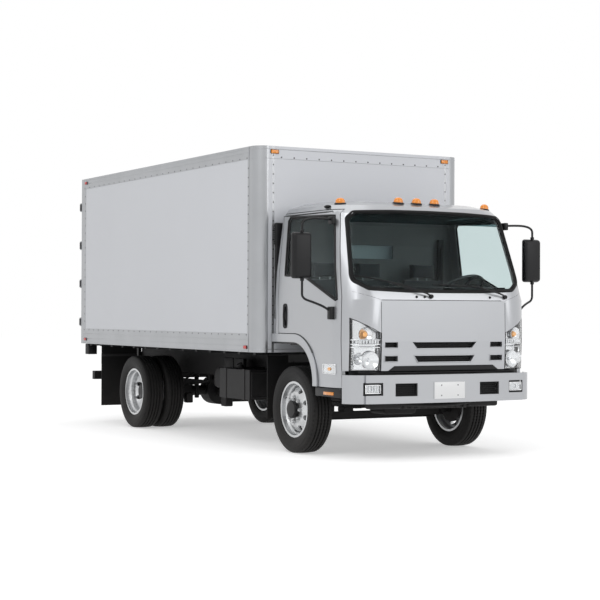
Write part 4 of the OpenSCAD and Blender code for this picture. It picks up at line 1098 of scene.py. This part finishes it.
def makeWheels():
    frontX = (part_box("front_tyre_left")[0][0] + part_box("front_tyre_left")[1][0]) / 2
    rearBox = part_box("rear_tyres_left")
    rearX = [rearBox[0][0] + 0.1125, rearBox[1][0] - 0.1125]
    for side in (-1, 1):
        name = "left" if side > 0 else "right"
        for body, node, places, y in (("front_wheel_" + name, "front_tyre_" + name, [frontX], axleY),
                                      ("rear_wheels_" + name, "rear_tyres_" + name, rearX, rearAxleY)):
            bm = bmesh.new()
            for x in places:
                tyreInto(bm, (side * x, y, wheelZ), side)
            tyre = finishPiece(node + "_tread", bm, body, ["tyreRubber"], 32)
            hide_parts(node)
        makeFrontHub(side, name, frontX)
        makeRearHub(side, name, rearX)


def nutsInto(bm, side, x, y, material):
    for k in range(wheel["studs"]):
        turn = math.tau * k / wheel["studs"]
        base = (side * x, y + wheel["studCircle"] * math.cos(turn),
                wheelZ + wheel["studCircle"] * math.sin(turn))
        nutInto(bm, base, (side, 0, 0), wheel["nutRadius"], wheel["nutLength"], material)


def makeFrontHub(side, name, frontX):
    node = "front_rim_" + name
    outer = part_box(node)[1][0] if side > 0 else -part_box(node)[0][0]
    discX = frontX + 0.072

    def paint(place, normal):
        reach = math.hypot(place.y - axleY, place.z - wheelZ)
        if reach < 0.0795 and abs(place.x) > discX - 0.002:
            return 1
        return 2 if abs(place.x) < frontX + 0.02 and reach < 0.205 else 0
    smoothCopy(node, "rimSilver satinBlack castIron", 30, paint=paint)
    bm = bmesh.new()
    nutsInto(bm, side, discX, axleY, 0)
    centre = (side * outer, axleY, wheelZ)
    spinInto(bm, [(-0.030, 0.0785), (-0.028, 0.0815), (-0.012, 0.0815), (-0.006, 0.0760),
                  (-0.0045, 0.0560), (-0.0005, 0.0520), (-0.0004, 0.0200), (-0.0030, 0.0)], centre,
             (side, 0, 0), 1, 48)
    for k in range(8):
        turn = math.tau * (k + 0.5) / 8
        base = (side * (outer - 0.008), axleY + 0.067 * math.cos(turn), wheelZ + 0.067 * math.sin(turn))
        rodInto(bm, base, (side * (outer - 0.0012), base[1], base[2]), 0.0062, 0,
                segments=6, bevel=0.0008)
    # valve stem
    rodInto(bm, (side * (frontX + 0.055), axleY + 0.19, wheelZ + 0.10),
            (side * (frontX + 0.078), axleY + 0.182, wheelZ + 0.096), 0.0042, 1,
            segments=10, bevel=0.0008)
    # lip ring on the rim's edge
    spinInto(bm, [(0.0835, 0.2600), (0.0862, 0.2625), (0.0862, 0.2470), (0.0835, 0.2440)],
             (side * frontX, axleY, wheelZ), (side, 0, 0), 0, 72)
    finishPiece("front_hub_" + name, bm, "front_wheel_" + name,
                ["rimSilver", "satinBlack"], 40)


def makeRearHub(side, name, rearX):
    node = "rear_rims_" + name
    middle = sum(rearX) / 2
    discX = middle + 0.012

    def paint(place, normal):
        reach = math.hypot(place.y - rearAxleY, place.z - wheelZ)
        if reach < 0.0795:
            return 1
        return 2 if reach < 0.150 and abs(place.x) < middle - 0.012 else 0
    smoothCopy(node, "rimSilver satinBlack castIron", 30, paint=paint)
    bm = bmesh.new()
    nutsInto(bm, side, discX, rearAxleY, 0)
    end = middle + 0.130
    centre = (side * end, rearAxleY, wheelZ)
    spinInto(bm, [(-0.060, 0.0785), (-0.040, 0.0805), (-0.016, 0.0800), (-0.010, 0.0745),
                  (-0.0055, 0.0560), (-0.0010, 0.0520), (-0.0008, 0.0)], centre, (side, 0, 0), 1, 48)
    for k in range(8):
        turn = math.tau * (k + 0.5) / 8
        base = (side * (end - 0.011), rearAxleY + 0.067 * math.cos(turn),
                wheelZ + 0.067 * math.sin(turn))
        rodInto(bm, base, (side * (end - 0.004), base[1], base[2]), 0.0065, 0, segments=6, bevel=0.0008)
    for x in rearX:
        spinInto(bm, [(0.0835, 0.2600), (0.0862, 0.2625), (0.0862, 0.2470), (0.0835, 0.2440)],
                 (side * x, rearAxleY, wheelZ), (side, 0, 0), 0, 72)
    finishPiece("rear_hub_" + name, bm, "rear_wheels_" + name,
                ["rimSilver", "satinBlack"], 40)


makeWheels()
print("wheels")

boxTop, boxBottom = wallHigh[2], wallLow[2]
box = {"postRadius": 0.122, "postWidth": 0.166, "lowerRail": 0.180, "upperRail": 0.122, "proud": 0.003,
       "rivetPitch": 0.150, "postPitch": 0.086, "rivet": (0.0078, 0.0028)}


def rivetInto(bm, place, normal, material=0):
    radius, height = box["rivet"]
    part = bmesh.new()
    bmesh.ops.create_cone(part, cap_ends=True, segments=10, radius1=radius,
                          radius2=radius * 0.55, depth=height)
    joinInto(bm, part, material,
             Matrix.Translation(Vector(place) + Vector(normal) * (height / 2 - 0.0003)) @ turnTo(normal))


def makeBoxShell():
    def paintSide(place, normal):
        rail = place.z > boxTop - box["upperRail"] - 0.001 or place.z < boxBottom + box["lowerRail"] + 0.001
        return 1 if abs(place.x) > boxHalf + 0.0005 or (rail and abs(normal.x) < 0.5) else 0
    smoothCopy("box_side_walls", "boxWhite railAluminium", 24, paint=paintSide)
    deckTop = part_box("box_floor")[1][2]
    smoothCopy("box_floor", "chassisBlack floorWood", 24,
               paint=lambda place, normal: 1 if place.z > deckTop - 0.002 else 0)

    def paintFront(place, normal):
        if abs(place.x) > boxHalf - box["postWidth"] + 0.002 and abs(normal.z) < 0.5:
            return 1
        return 2 if place.z > boxTop - box["upperRail"] + 0.002 else 0
    smoothCopy("box_front_wall", "boxWhite postAluminium railAluminium", 30,
               paint=paintFront)


def makeRailDetail():
    bm = bmesh.new()

    def half(part):
        x = boxHalf + box["proud"]
        front, back = wallLow[1], wallHigh[1]
        # extruded beads along the rails
        for z, size in ((boxTop - 0.020, 0.0050), (boxTop - 0.058, 0.0036), (boxBottom + 0.012, 0.0045),
                        (boxBottom + 0.060, 0.0034), (boxBottom + 0.118, 0.0034)):
            blockInto(part, (x - 0.001, front, z - size), (x + 0.0026, back, z + size), 0, 0.0016, 2)
        count = int((back - front - 0.06) / box["rivetPitch"])
        for z in (boxTop - box["upperRail"] + 0.012, boxBottom + box["lowerRail"] - 0.014):
            for k in range(count + 1):
                rivetInto(part, (x, front + 0.04 + (back - front - 0.08) * k / count, z), (1, 0, 0), 1)
        # cover strip of the rear post and its rivets, and the edge of the front corner post
        low, high = boxBottom + box["lowerRail"], boxTop - box["upperRail"]
        blockInto(part, (boxHalf - 0.001, back - 0.070, low + 0.001),
                  (boxHalf + 0.0024, back, high - 0.001), 0, 0.001, 1)
        blockInto(part, (boxHalf - 0.001, front - 0.002, low + 0.001), (boxHalf + 0.0024, front + 0.026,
                                                                        high - 0.001), 0, 0.001, 1)
        rows = int((high - low) / box["postPitch"])
        for k in range(1, rows):
            z = low + (high - low) * k / rows
            rivetInto(part, (boxHalf + 0.0024, front + 0.013, z), (1, 0, 0), 1)
            rivetInto(part, (boxHalf + 0.0024, back - 0.054, z), (1, 0, 0), 1)
        # front wall: strip beside each corner post, with rivets
        edge = boxHalf - box["postWidth"]
        blockInto(part, (edge - 0.022, boxFront - 0.0006, boxBottom + 0.002),
                  (edge + 0.004, boxFront + 0.003, boxTop - 0.002), 0, 0.0005, 1)
        rows = int((boxTop - boxBottom) / box["postPitch"])
        for k in range(1, rows):
            rivetInto(part, (edge - 0.009, boxFront - 0.0004,
                             boxBottom + (boxTop - boxBottom) * k / rows), (0, -1, 0), 1)
        for k in range(7):
            rivetInto(part, (edge * (k + 0.5) / 7.2, boxFront - 0.0004,
                             boxTop - box["upperRail"] + 0.016), (0, -1, 0), 1)
    mirrorInto(bm, half)
    # seams across the front: under the top rail and at the sill, carried round the corner posts
    for z, size in ((boxTop - box["upperRail"] + 0.002, 0.0032), (boxTop - 0.030, 0.0045),
                    (boxBottom + 0.03, 0.0045)):
        path = []
        for k in range(9):
            turn = math.radians(90 * k / 8)
            path.append((boxHalf - box["postRadius"] + (box["postRadius"] + 0.0004) * math.cos(turn),
                         boxFront + box["postRadius"] - (box["postRadius"] + 0.0004) * math.sin(turn),
                         z))
        path = [(boxHalf + 0.0004, wallLow[1], z)] + path
        path += [(-x, y, z) for x, y, z in reversed(path)]
        tubeInto(bm, path, size * 0.55, 0, smooth=False, sides=6)
    finishPiece("box_rails_and_rivets", bm, "chassis", ["railAluminium", "rivetSteel"], 35)


def lampInto(bm, low, high, out, lens, base):
    # a marker lamp: black base plate, domed ribbed lens
    low, high, out = Vector(low), Vector(high), Vector(out)
    middle = (low + high) / 2
    size = high - low
    part = bmesh.new()
    bmesh.ops.create_cube(part, size=1)
    bmesh.ops.scale(part, vec=size, verts=part.verts)
    bevelAll(part, min(size) * 0.30, 2)
    joinInto(bm, part, base, Matrix.Translation(middle - out * abs(size.dot(out)) * 0.35))
    part = bmesh.new()
    bmesh.ops.create_cube(part, size=1)
    axes = [i for i in range(3) if abs(out[i]) < 0.5]
    scale = [size[i] * (0.88 if i in axes else 0.98) for i in range(3)]
    bmesh.ops.scale(part, vec=scale, verts=part.verts)
    bevelAll(part, min(scale) * 0.42, 4)
    joinInto(bm, part, lens, Matrix.Translation(middle))
    long = max(axes, key=lambda i: size[i])
    for k in range(1, 8):
        step = Vector([0, 0, 0])
        step[long] = scale[long] * (k / 8 - 0.5)
        ends = Vector([0, 0, 0])
        other = [i for i in axes if i != long][0]
        ends[other] = scale[other] * 0.36
        face = middle + step + out * abs(scale[[i for i in range(3) if i not in axes][0]]) * 0.49
        rodInto(bm, face - ends, face + ends, 0.0009, lens, segments=6)


def makeMarkers():
    bm = bmesh.new()
    x, proud = boxHalf + box["proud"], 0.013
    backFace = max(v.co.y for v in nodes["box_lamps"].data.vertices) - 0.014
    rows = []
    for side in (-1, 1):
        def sideLamp(y, z, half, lens):
            a, b = side * x, side * (x + proud)
            rows.append(((min(a, b), y - half, z - 0.0175), (max(a, b), y + half, z + 0.0175),
                         (side, 0, 0), lens))
        sideLamp(backFace - 0.155, boxTop - 0.0525, 0.035, 1)
        sideLamp(backFace - 0.155, boxBottom + 0.0525, 0.035, 1)
        sideLamp(boxFront + 0.220, boxBottom + 0.0475, 0.035, 1)
        a, b = side * (boxHalf - 0.122 - 0.110), side * (boxHalf - 0.122 - 0.020)
        rows.append(((min(a, b), boxFront - proud, boxTop - 0.075),
                     (max(a, b), boxFront, boxTop - 0.035), (0, -1, 0), 0))
        a, b = side * 0.820, side * 0.960
        rows.append(((min(a, b), backFace, boxBottom + 0.020),
                     (max(a, b), backFace + proud, boxBottom + 0.070), (0, 1, 0), 1))
    for place in (-0.110, 0, 0.110):
        rows.append(((place - 0.030, backFace, boxTop - 0.075),
                     (place + 0.030, backFace + proud, boxTop - 0.045), (0, 1, 0), 1))
    for low, high, out, lens in rows:
        lampInto(bm, low, high, out, lens, 2)
    piece = finishPiece("box_marker_lamps", bm, "chassis",
                        ["amberLens", "redLens", "satinBlack"], 40)
    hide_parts("box_lamps")


makeBoxShell()
makeRailDetail()
makeMarkers()
print("box")

rearEnd = {"platePlace": (0.0, 0.70), "plateHalf": (0.165, 0.076)}


def makeRearDoors():
    doorLow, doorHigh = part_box("rear_door_left")
    leafFace = boxBack + 0.060
    for side in (-1, 1):
        name = "left" if side > 0 else "right"
        node = "rear_door_" + name

        def paint(place, normal):
            return 1 if place.y > leafFace + 0.001 or abs(place.x) > boxHalf - 0.075 + 0.012 else 0
        smoothCopy(node, "boxWhite rivetSteel", 30, paint=paint)
        # rubber seal round the leaf, aluminium edge strips, a rub rail and the handle's latch
        bm = bmesh.new()
        x0, x1 = 0.006, boxHalf - 0.066
        z0, z1 = doorLow[2] + 0.006, doorHigh[2] - 0.006
        loop = [(side * a, leafFace - 0.001, b) for a,
                b in ((x0 + 0.006, z0), (x1, z0), (x1, z1), (x0 + 0.006, z1))]
        tubeInto(bm, loop, 0.0062, 1, closed=True, smooth=False, sides=8)
        a, b = x0 + 0.012, x1 - 0.010
        left, right = sorted((side * a, side * b))
        for c, d in ((z0 + 0.010, z0 + 0.060), (z1 - 0.060, z1 - 0.010)):
            blockInto(bm, (left, leafFace - 0.002, c), (right, leafFace + 0.0022, d), 0, 0.001, 1)
            for k in range(8):
                rivetInto(bm, (side * (a + (b - a) * (k + 0.5) / 8), leafFace + 0.0022,
                               (c + d) / 2), (0, 1, 0), 2)
        # lock cams at both ends of the rod and a folding handle with its keeper
        for z in (doorLow[2] + 0.028, doorHigh[2] - 0.028):
            spinInto(bm, [(-0.020, 0.0), (-0.020, 0.0145), (0.020, 0.0145), (0.020, 0.0)],
                     (side * 0.240, leafFace + 0.0090, z), (0, 0, 1), 3, 24)
        left, right = sorted((side * 0.56, side * 0.60))
        blockInto(bm, (left, leafFace + 0.016, 1.507), (right, leafFace + 0.0235, 1.533), 3, 0.003, 2)
        finishPiece("rear_door_trim_" + name, bm, "rear_door_" + name,
                    ["railAluminium", "sealRubber", "rivetSteel", "castIron"], 35)
    # frame round the doors: drip rail, gutter rivets, sill bumpers, number plate place
    bm = bmesh.new()
    back = boxBack + 0.070
    blockInto(bm, (-boxHalf + 0.01, back - 0.001, boxTop - 0.022),
              (boxHalf - 0.01, back + 0.008, boxTop - 0.010), 0, 0.003, 2)
    for k in range(15):
        x = -boxHalf + 0.09 + (2 * boxHalf - 0.18) * k / 14
        if min(abs(x), abs(abs(x) - 0.11)) > 0.035:
            rivetInto(bm, (x, back, boxTop - 0.060), (0, 1, 0), 1)
        rivetInto(bm, (x, back, boxBottom + 0.085), (0, 1, 0), 1)
    for side in (-1, 1):
        for k in range(15):
            z = boxBottom + 0.16 + (boxTop - boxBottom - 0.40) * k / 14
            rivetInto(bm, (side * (boxHalf - 0.050), back, z), (0, 1, 0), 1)
    finishPiece("rear_frame_trim", bm, "chassis", ["railAluminium", "rivetSteel"], 35)
    # tail lamps under the floor, a blank plate with its lamp, and rubber stops on the guard bar
    bm = bmesh.new()
    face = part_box("rear_bumper")[1][1]
    for side in (-1, 1):
        for k, lens in enumerate((1, 1, 4)):
            x = side * (0.60 + 0.135 * k)
            spinInto(bm, [(-0.004, 0.0), (-0.004, 0.052), (0.004, 0.052), (0.006, 0.046)],
                     (x, face, 0.745), (0, 1, 0), 0, 32)
            spinInto(bm, [(0.000, 0.044), (0.010, 0.043), (0.015, 0.034), (0.018, 0.018), (0.019, 0.0)],
                     (x, face, 0.745), (0, 1, 0), lens if k < 2 else 4, 32)
        blockInto(bm, (min(side * 0.53, side * 0.93), face - 0.030, 0.680),
                  (max(side * 0.53, side * 0.93), face - 0.002, 0.810), 0, 0.006, 2)
        blockInto(bm, (min(side * 0.56, side * 0.60), face - 0.050, 0.590),
                  (max(side * 0.56, side * 0.60), face - 0.020, 0.700), 0, 0.004, 2)
        blockInto(bm, (min(side * 0.86, side * 0.90), face - 0.050, 0.590),
                  (max(side * 0.86, side * 0.90), face - 0.020, 0.700), 0, 0.004, 2)
        blockInto(bm, (side * 0.975 - 0.05, face - 0.001, 0.515),
                  (side * 0.975 + 0.05, face + 0.030, 0.585), 3, 0.010, 3)
    px, pz = rearEnd["platePlace"]
    hx, hz = rearEnd["plateHalf"]
    blockInto(bm, (px - hx - 0.01, face - 0.020, pz - hz - 0.02),
              (px + hx + 0.01, face - 0.006, pz + hz + 0.03), 0, 0.004, 2)
    blockInto(bm, (px - hx, face - 0.007, pz - hz), (px + hx, face - 0.002, pz + hz), 2, 0.0015, 2)
    blockInto(bm, (px - 0.03, face - 0.020, 0.590), (px + 0.03, face - 0.008, pz - hz), 0, 0.003, 2)
    blockInto(bm, (px - 0.04, face - 0.010, pz + hz + 0.010),
              (px + 0.04, face + 0.012, pz + hz + 0.032), 0, 0.005, 3)
    finishPiece("tail_lamps_and_plate", bm, "chassis",
                ["satinBlack", "redLens", "plateWhite", "sealRubber", "clearLens"], 40)


makeRearDoors()
print("rear end")

roofLamp = {"places": [(0, -0.612), (0.200, -0.612), (-0.200, -0.612), (0.800, -0.575),
                       (-0.800, -0.575)], "half": (0.052, 0.046)}


def makeRoofLamps():
    bm = bmesh.new()
    for x, y in roofLamp["places"]:
        base = onRoof(x, y, -0.002)
        normal = (onRoof(x, y, 1.0) - onRoof(x, y)).normalized()
        lean = (normal + Vector((0, 0, 1.2))).normalized()
        rx, ry = roofLamp["half"]
        part = bmesh.new()
        # base pad, then a domed lens that leans forward a little
        spinInto(part, [(-0.012, 0.0), (-0.012, 1.04), (0.004, 1.08), (0.010, 1.0), (0.012, 0.90)],
                 (0, 0, 0), (0, 0, 1), 1, 32)
        spinInto(part, [(0.010, 0.90), (0.028, 0.86), (0.042, 0.74), (0.051, 0.54), (0.056, 0.28),
                        (0.057, 0.0)], (0, 0, 0), (0, 0, 1), 0, 32)
        bmesh.ops.scale(part, vec=(rx, ry, 1), verts=part.verts)
        turn = lean.to_track_quat("Z", "Y").to_matrix().to_4x4()
        mesh = bpy.data.meshes.new("lamp")
        bmesh.ops.transform(part, matrix=Matrix.Translation(base) @ turn, verts=part.verts)
        part.to_mesh(mesh)
        part.free()
        bm.from_mesh(mesh)
        bpy.data.meshes.remove(mesh)
    piece = finishPiece("roof_marker_lamps", bm, "cab", ["amberLens", "satinBlack"], 50)
    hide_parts("roof_lamps")
    # gutter strips along the roof's sides and the black cover beside the right lamp
    bm = bmesh.new()
    for side in (-1, 1):
        row = [onSide(side, -0.62 + 0.08 * k, 2.232, 0.002) for k in range(12)]
        tubeInto(bm, row, 0.006, 1, smooth=False, sides=8)
        row = [onSide(side, -0.64 + 0.08 * k, 2.222, 0.001) for k in range(12)]
        tubeInto(bm, row, 0.004, 0, smooth=False, sides=8)
    foot = onRoof(-0.900, -0.52, 0.0)
    ballInto(bm, foot, (0.030, 0.045, 0.016), 0, 16, 10)
    finishPiece("roof_gutters", bm, "cab", ["sealRubber", "cabSilver"], 50)


makeRoofLamps()
print("roof")

seat = {"rows": [(0.530, 0.250), (-0.330, 0.470)], "base": (-0.382, 0.118, 1.088, 1.222),
        "back": (0.030, 0.140, 1.240, 1.640), "rest": (0.040, 0.135, 1.655, 1.792), "crown": 0.016,
        "channel": 0.006}


def cushionInto(bm, low, high, crownAxis, sign, channels, material=0, channelAxis=0):
    # a crowned block whose sides pull in between the corners, with sewn channels
    part = bmesh.new()
    bmesh.ops.create_cube(part, size=2)
    bmesh.ops.subdivide_edges(part, edges=part.edges, cuts=15, use_grid_fill=True)
    size = [(high[i] - low[i]) / 2 for i in range(3)]
    middle = [(high[i] + low[i]) / 2 for i in range(3)]
    flat = [i for i in range(3) if i != crownAxis]
    for vert in part.verts:
        u = vert.co.copy()
        dome = (1 - u[flat[0]] ** 4) * (1 - u[flat[1]] ** 4)
        for i in range(3):
            vert.co[i] = u[i] * size[i]
        for i in flat:  # sides drawn in between corners
            other = flat[1] if i == flat[0] else flat[0]
            if abs(u[i]) > 0.99:
                vert.co[i] -= u[i] * 0.006 * (1 - u[other] ** 2)
        vert.co[crownAxis] -= sign * (seat["crown"] * (1 - dome)) * (1 if u[crownAxis] * sign > 0 else 0)
        for c in channels:
            if abs(u[channelAxis] - c) < 0.035 and u[crownAxis] * sign > 0.9:
                vert.co[crownAxis] -= sign * seat["channel"] * 2
    for _ in range(2):
        bmesh.ops.smooth_vert(part, verts=part.verts, factor=0.5, use_axis_x=True, use_axis_y=True,
                              use_axis_z=True)
    bmesh.ops.recalc_face_normals(part, faces=part.faces)
    joinInto(bm, part, material, Matrix.Translation(middle))


def makeSeats():
    for x, half in seat["rows"]:
        place = "driver" if x > 0 else "passenger"
        for kind, crownAxis, sign in (("base", 2, 1), ("back", 1, -1)):
            y0, y1, z0, z1 = seat[kind]
            bm = bmesh.new()
            gap = 0.012
            sections = [(x - half, x + half)] if x > 0 else [(x - half, x - 0.02), (x, x + half)]
            for a, b in sections:
                cushionInto(bm, (a + gap, axleY + y0, z0), (b - gap, axleY + y1, z1), crownAxis, sign,
                            (-0.55, 0.55))
                if kind == "back":
                    r0, r1, r2, r3 = seat["rest"]
                    mid = (a + b) / 2
                    cushionInto(bm, (mid - 0.125, axleY + r0, r2),
                                (mid + 0.125, axleY + r1, r3), 1, -1, ())
                    for k in (-1, 1):
                        rodInto(bm, (mid + k * 0.055, axleY + 0.088, 1.62),
                                (mid + k * 0.055, axleY + 0.088, 1.68), 0.006, 1, segments=12)
            piece = finishPiece("seat_" + kind + "_" + place, bm, "cab",
                                ["seatCloth", "chrome"], 70)
            smooth = piece.modifiers.new("round", "SUBSURF")
            smooth.levels = smooth.render_levels = 1
    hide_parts("seats")
    # seat pedestals and belts' towers
    bm = bmesh.new()
    for x, half in seat["rows"]:
        blockInto(bm, (x - half + 0.04, axleY - 0.34, 1.081),
                  (x + half - 0.04, axleY + 0.09, 1.092), 0, 0.002, 1)
    for side in (-1, 1):
        blockInto(bm, (side * 0.845 - 0.03, axleY + 0.215, 1.30),
                  (side * 0.845 + 0.03, axleY + 0.255, 2.05), 0, 0.010, 2)
        tubeInto(bm, [(side * 0.835, axleY + 0.205, 1.98), (side * 0.80, axleY + 0.18, 1.60),
                      (side * 0.79, axleY + 0.10, 1.26)], 0.010, 1, sides=8)
    finishPiece("cab_inner_trim", bm, "cab", ["cabTrim", "sealRubber"], 40)


def makeDashboard():
    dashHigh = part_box("dashboard")[1]
    bm = bmesh.new()
    top, rear = dashHigh[2], dashHigh[1]
    wheelX = (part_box("steering_wheel")[0][0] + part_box("steering_wheel")[1][0]) / 2
    # binnacle, dials, air vents, a screen and the glovebox lid
    blockInto(bm, (wheelX - 0.19, rear - 0.185, top - 0.055),
              (wheelX + 0.19, rear - 0.075, top - 0.002), 0, 0.020, 4)
    for k in (-1, 1):
        spinInto(bm, [(0.0, 0.0), (0.003, 0.040), (0.006, 0.043), (0.006, 0.047), (0.0, 0.048)],
                 (wheelX + k * 0.075, rear - 0.074, top - 0.030), (0, 1, 0.3), 1, 28)
    for x in (-0.80, -0.12, 0.10, 0.80):
        blockInto(bm, (x - 0.060, rear - 0.030, top - 0.115),
                  (x + 0.060, rear + 0.003, top - 0.060), 1, 0.006, 2)
        for k in range(4):
            z = top - 0.107 + 0.013 * k
            blockInto(bm, (x - 0.052, rear + 0.001, z), (x + 0.052, rear + 0.007,
                                                         z + 0.004), 0, 0.001, 1)
    blockInto(bm, (-0.105, rear - 0.020, top - 0.235), (0.085, rear + 0.006, top - 0.125), 1, 0.005, 2)
    blockInto(bm, (-0.72, rear - 0.010, top - 0.270), (-0.22, rear + 0.005, top - 0.135), 0, 0.008, 3)
    tubeInto(bm, [(-0.84 + 0.08 * k, rear - 0.26, top + 0.002) for k in range(22)], 0.007, 1, sides=8)
    finishPiece("dashboard_detail", bm, "cab", ["cabTrim", "dialFace"], 40)


def makeUnderbody():
    bm = bmesh.new()
    tankLow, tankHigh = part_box("fuel_tank")
    x = tankLow[0]
    # rounded end frames, a filler neck with its cap and a step plate on the tank
    for y in (tankLow[1], tankHigh[1]):
        loop = [(x + 0.030, y, tankLow[2] + 0.030), (-0.53, y, tankLow[2] + 0.030),
                (-0.53, y, tankHigh[2] - 0.030), (x + 0.030, y, tankHigh[2] - 0.030)]
        tubeInto(bm, loop, 0.010, 0, closed=True, smooth=False, sides=8)
    rodInto(bm, (x + 0.09, tankHigh[1] - 0.34, tankHigh[2] - 0.010),
            (x + 0.06, tankHigh[1] - 0.34, tankHigh[2] + 0.035), 0.030, 0, segments=24, bevel=0.004)
    rodInto(bm, (x + 0.063, tankHigh[1] - 0.34, tankHigh[2] + 0.030),
            (x + 0.052, tankHigh[1] - 0.34, tankHigh[2] + 0.048), 0.036, 1, segments=20, bevel=0.005)
    # two air reservoirs, a tool box and the spare parts between the axles
    for y in (1.86, 2.10):
        rodInto(bm, (-0.72, axleY + y, 0.62), (-0.44, axleY + y, 0.62), 0.105, 0,
                segments=32, bevel=0.02)
        rodInto(bm, (0.44, axleY + y, 0.64), (0.76, axleY + y, 0.64), 0.095, 0, segments=32, bevel=0.02)
        for side in (-1, 1):
            blockInto(bm, (side * 0.58 - 0.02, axleY + y - 0.11, 0.60),
                      (side * 0.58 + 0.02, axleY + y + 0.11, 0.83), 0, 0.004, 2)
    for side in (-1, 1):
        # brake chambers on the rear axle, dampers and bump stops at both axles
        rodInto(bm, (side * 0.30, rearAxleY + 0.16, 0.45), (side * 0.30, rearAxleY + 0.33, 0.47), 0.075,
                0, segments=28, bevel=0.015)
        for y, low in ((rearAxleY - 0.14, 0.33), (axleY + 0.16, 0.36)):
            rodInto(bm, (side * 0.32, y, low), (side * 0.30, y + 0.05, 0.58), 0.026, 0,
                    segments=16, bevel=0.004)
            rodInto(bm, (side * 0.30, y + 0.05, 0.57), (side * 0.29, y + 0.08, 0.75), 0.034, 0,
                    segments=16, bevel=0.004)
        tubeInto(bm, [(side * 0.40, rearAxleY + 0.2, 0.46), (side * 0.42, rearAxleY - 0.1, 0.58),
                      (side * 0.40, rearAxleY - 0.6, 0.66), (side * 0.41, rearAxleY - 1.2, 0.70)],
                 0.011, 2, sides=8)
    # long reservoir beside the frame, cross pipe, dock stops at the rear corners
    rodInto(bm, (-0.345, axleY + 1.75, 0.545), (-0.345, axleY + 2.85, 0.545), 0.070, 0,
            segments=28, bevel=0.015)
    rodInto(bm, (0.345, axleY + 1.75, 0.560), (0.345, axleY + 2.75, 0.560), 0.055, 0,
            segments=28, bevel=0.012)
    rodInto(bm, (-0.19, axleY + 1.90, 0.555), (-0.19, axleY + 3.10, 0.555), 0.078, 0,
            segments=28, bevel=0.02)
    rodInto(bm, (0.19, axleY + 1.90, 0.565), (0.19, axleY + 3.10, 0.565), 0.070, 0,
            segments=28, bevel=0.02)
    for side in (-1, 1):
        blockInto(bm, (side * 0.53 - 0.17, axleY - 0.945, 0.452),
                  (side * 0.53 + 0.17, axleY - 0.84, 0.600), 0, 0.020, 3)
        blockInto(bm, (side * 1.06 - 0.055, axleY + 4.84, 0.800),
                  (side * 1.06 + 0.055, axleY + 4.955, 0.926), 0, 0.008, 2)
    # fittings that hang lower between the axles
    blockInto(bm, (-0.56, axleY + 2.24, 0.300), (-0.47, axleY + 2.36, 0.42), 0, 0.012, 3)
    blockInto(bm, (-0.54, axleY + 2.27, 0.40), (-0.48, axleY + 2.33, 0.64), 0, 0.006, 2)
    blockInto(bm, (-0.54, axleY + 3.27, 0.285), (-0.46, axleY + 3.36, 0.40), 0, 0.012, 3)
    # radiator, its shroud and the undertray between the front wheels
    blockInto(bm, (-0.36, axleY - 0.93, 0.445), (0.36, axleY - 0.86, 0.62), 0, 0.010, 2)
    blockInto(bm, (-0.34, axleY - 0.86, 0.50), (0.34, axleY - 0.40, 0.62), 0, 0.030, 3)
    blockInto(bm, (-0.20, axleY - 0.40, 0.36), (0.16, axleY - 0.10, 0.47), 0, 0.035, 4)
    for k in range(10):
        blockInto(bm, (-0.34 + 0.072 * k, axleY - 0.945, 0.45),
                  (-0.31 + 0.072 * k, axleY - 0.925, 0.60), 1, 0.003, 1)
    tubeInto(bm, [(-0.44, axleY - 0.92, 0.50), (-0.2, axleY - 0.97, 0.475), (0.2, axleY - 0.97, 0.475),
                  (0.44, axleY - 0.92, 0.50)], 0.016, 0, sides=10)
    tubeInto(bm, [(-0.40, axleY - 0.90, 0.54), (-0.38, axleY - 0.5, 0.46), (-0.25, axleY - 0.2, 0.44)],
             0.010, 2, sides=8)
    # steering box and drag link stub, inside the left rail
    blockInto(bm, (0.22, axleY - 0.62, 0.60), (0.34, axleY - 0.42, 0.80), 0, 0.020, 3)
    finishPiece("underbody_fittings", bm, "chassis",
                ["chassisBlack", "castIron", "sealRubber"], 40)
    # wheel guards' edges and braces
    bm = bmesh.new()
    for side in (-1, 1):
        row = [(side * 0.985, axleY + 0.474, 0.30 + 0.05 * k) for k in range(13)]
        tubeInto(bm, row, 0.007, 0, smooth=False, sides=8)
        for k in range(4):
            z = 0.36 + 0.12 * k
            blockInto(bm, (side * 0.872 - 0.11, axleY + 0.466, z),
                      (side * 0.872 + 0.11, axleY + 0.4705, z + 0.010), 0, 0.001, 1)
        for z in (0.79, 0.83):
            rodInto(bm, (side * 0.70, axleY + 0.48, z), (side * 0.70, axleY + 0.49, z),
                    0.011, 1, segments=6)
        for k in range(5):
            x = side * (0.68 + 0.09 * k)
            rodInto(bm, (x, axleY + 4.472, 0.80), (x, axleY + 4.482, 0.80), 0.009, 1, segments=6)
        blockInto(bm, (side * 0.865 - 0.225, axleY + 4.474, 0.785),
                  (side * 0.865 + 0.225, axleY + 4.480, 0.815), 1, 0.002, 1)
    finishPiece("mudguard_detail", bm, "chassis", ["flapRubber", "castIron"], 40)
    # dark air duct up the back of the cab
    bm = bmesh.new()
    blockInto(bm, (-0.985, axleY + 0.314, 1.25), (-0.885, axleY + 0.350, 2.05), 0, 0.014, 4)
    blockInto(bm, (-0.990, axleY + 0.312, 1.95), (-0.870, axleY + 0.352, 2.17), 0, 0.016, 4)
    for k in range(9):
        blockInto(bm, (-0.994, axleY + 0.318, 1.965 + 0.021 * k),
                  (-0.986, axleY + 0.346, 1.975 + 0.021 * k), 0, 0.001, 1)
    finishPiece("air_duct", bm, "cab", ["satinBlack"], 40)


makeSeats()
makeDashboard()
makeUnderbody()
print("inside and underside")
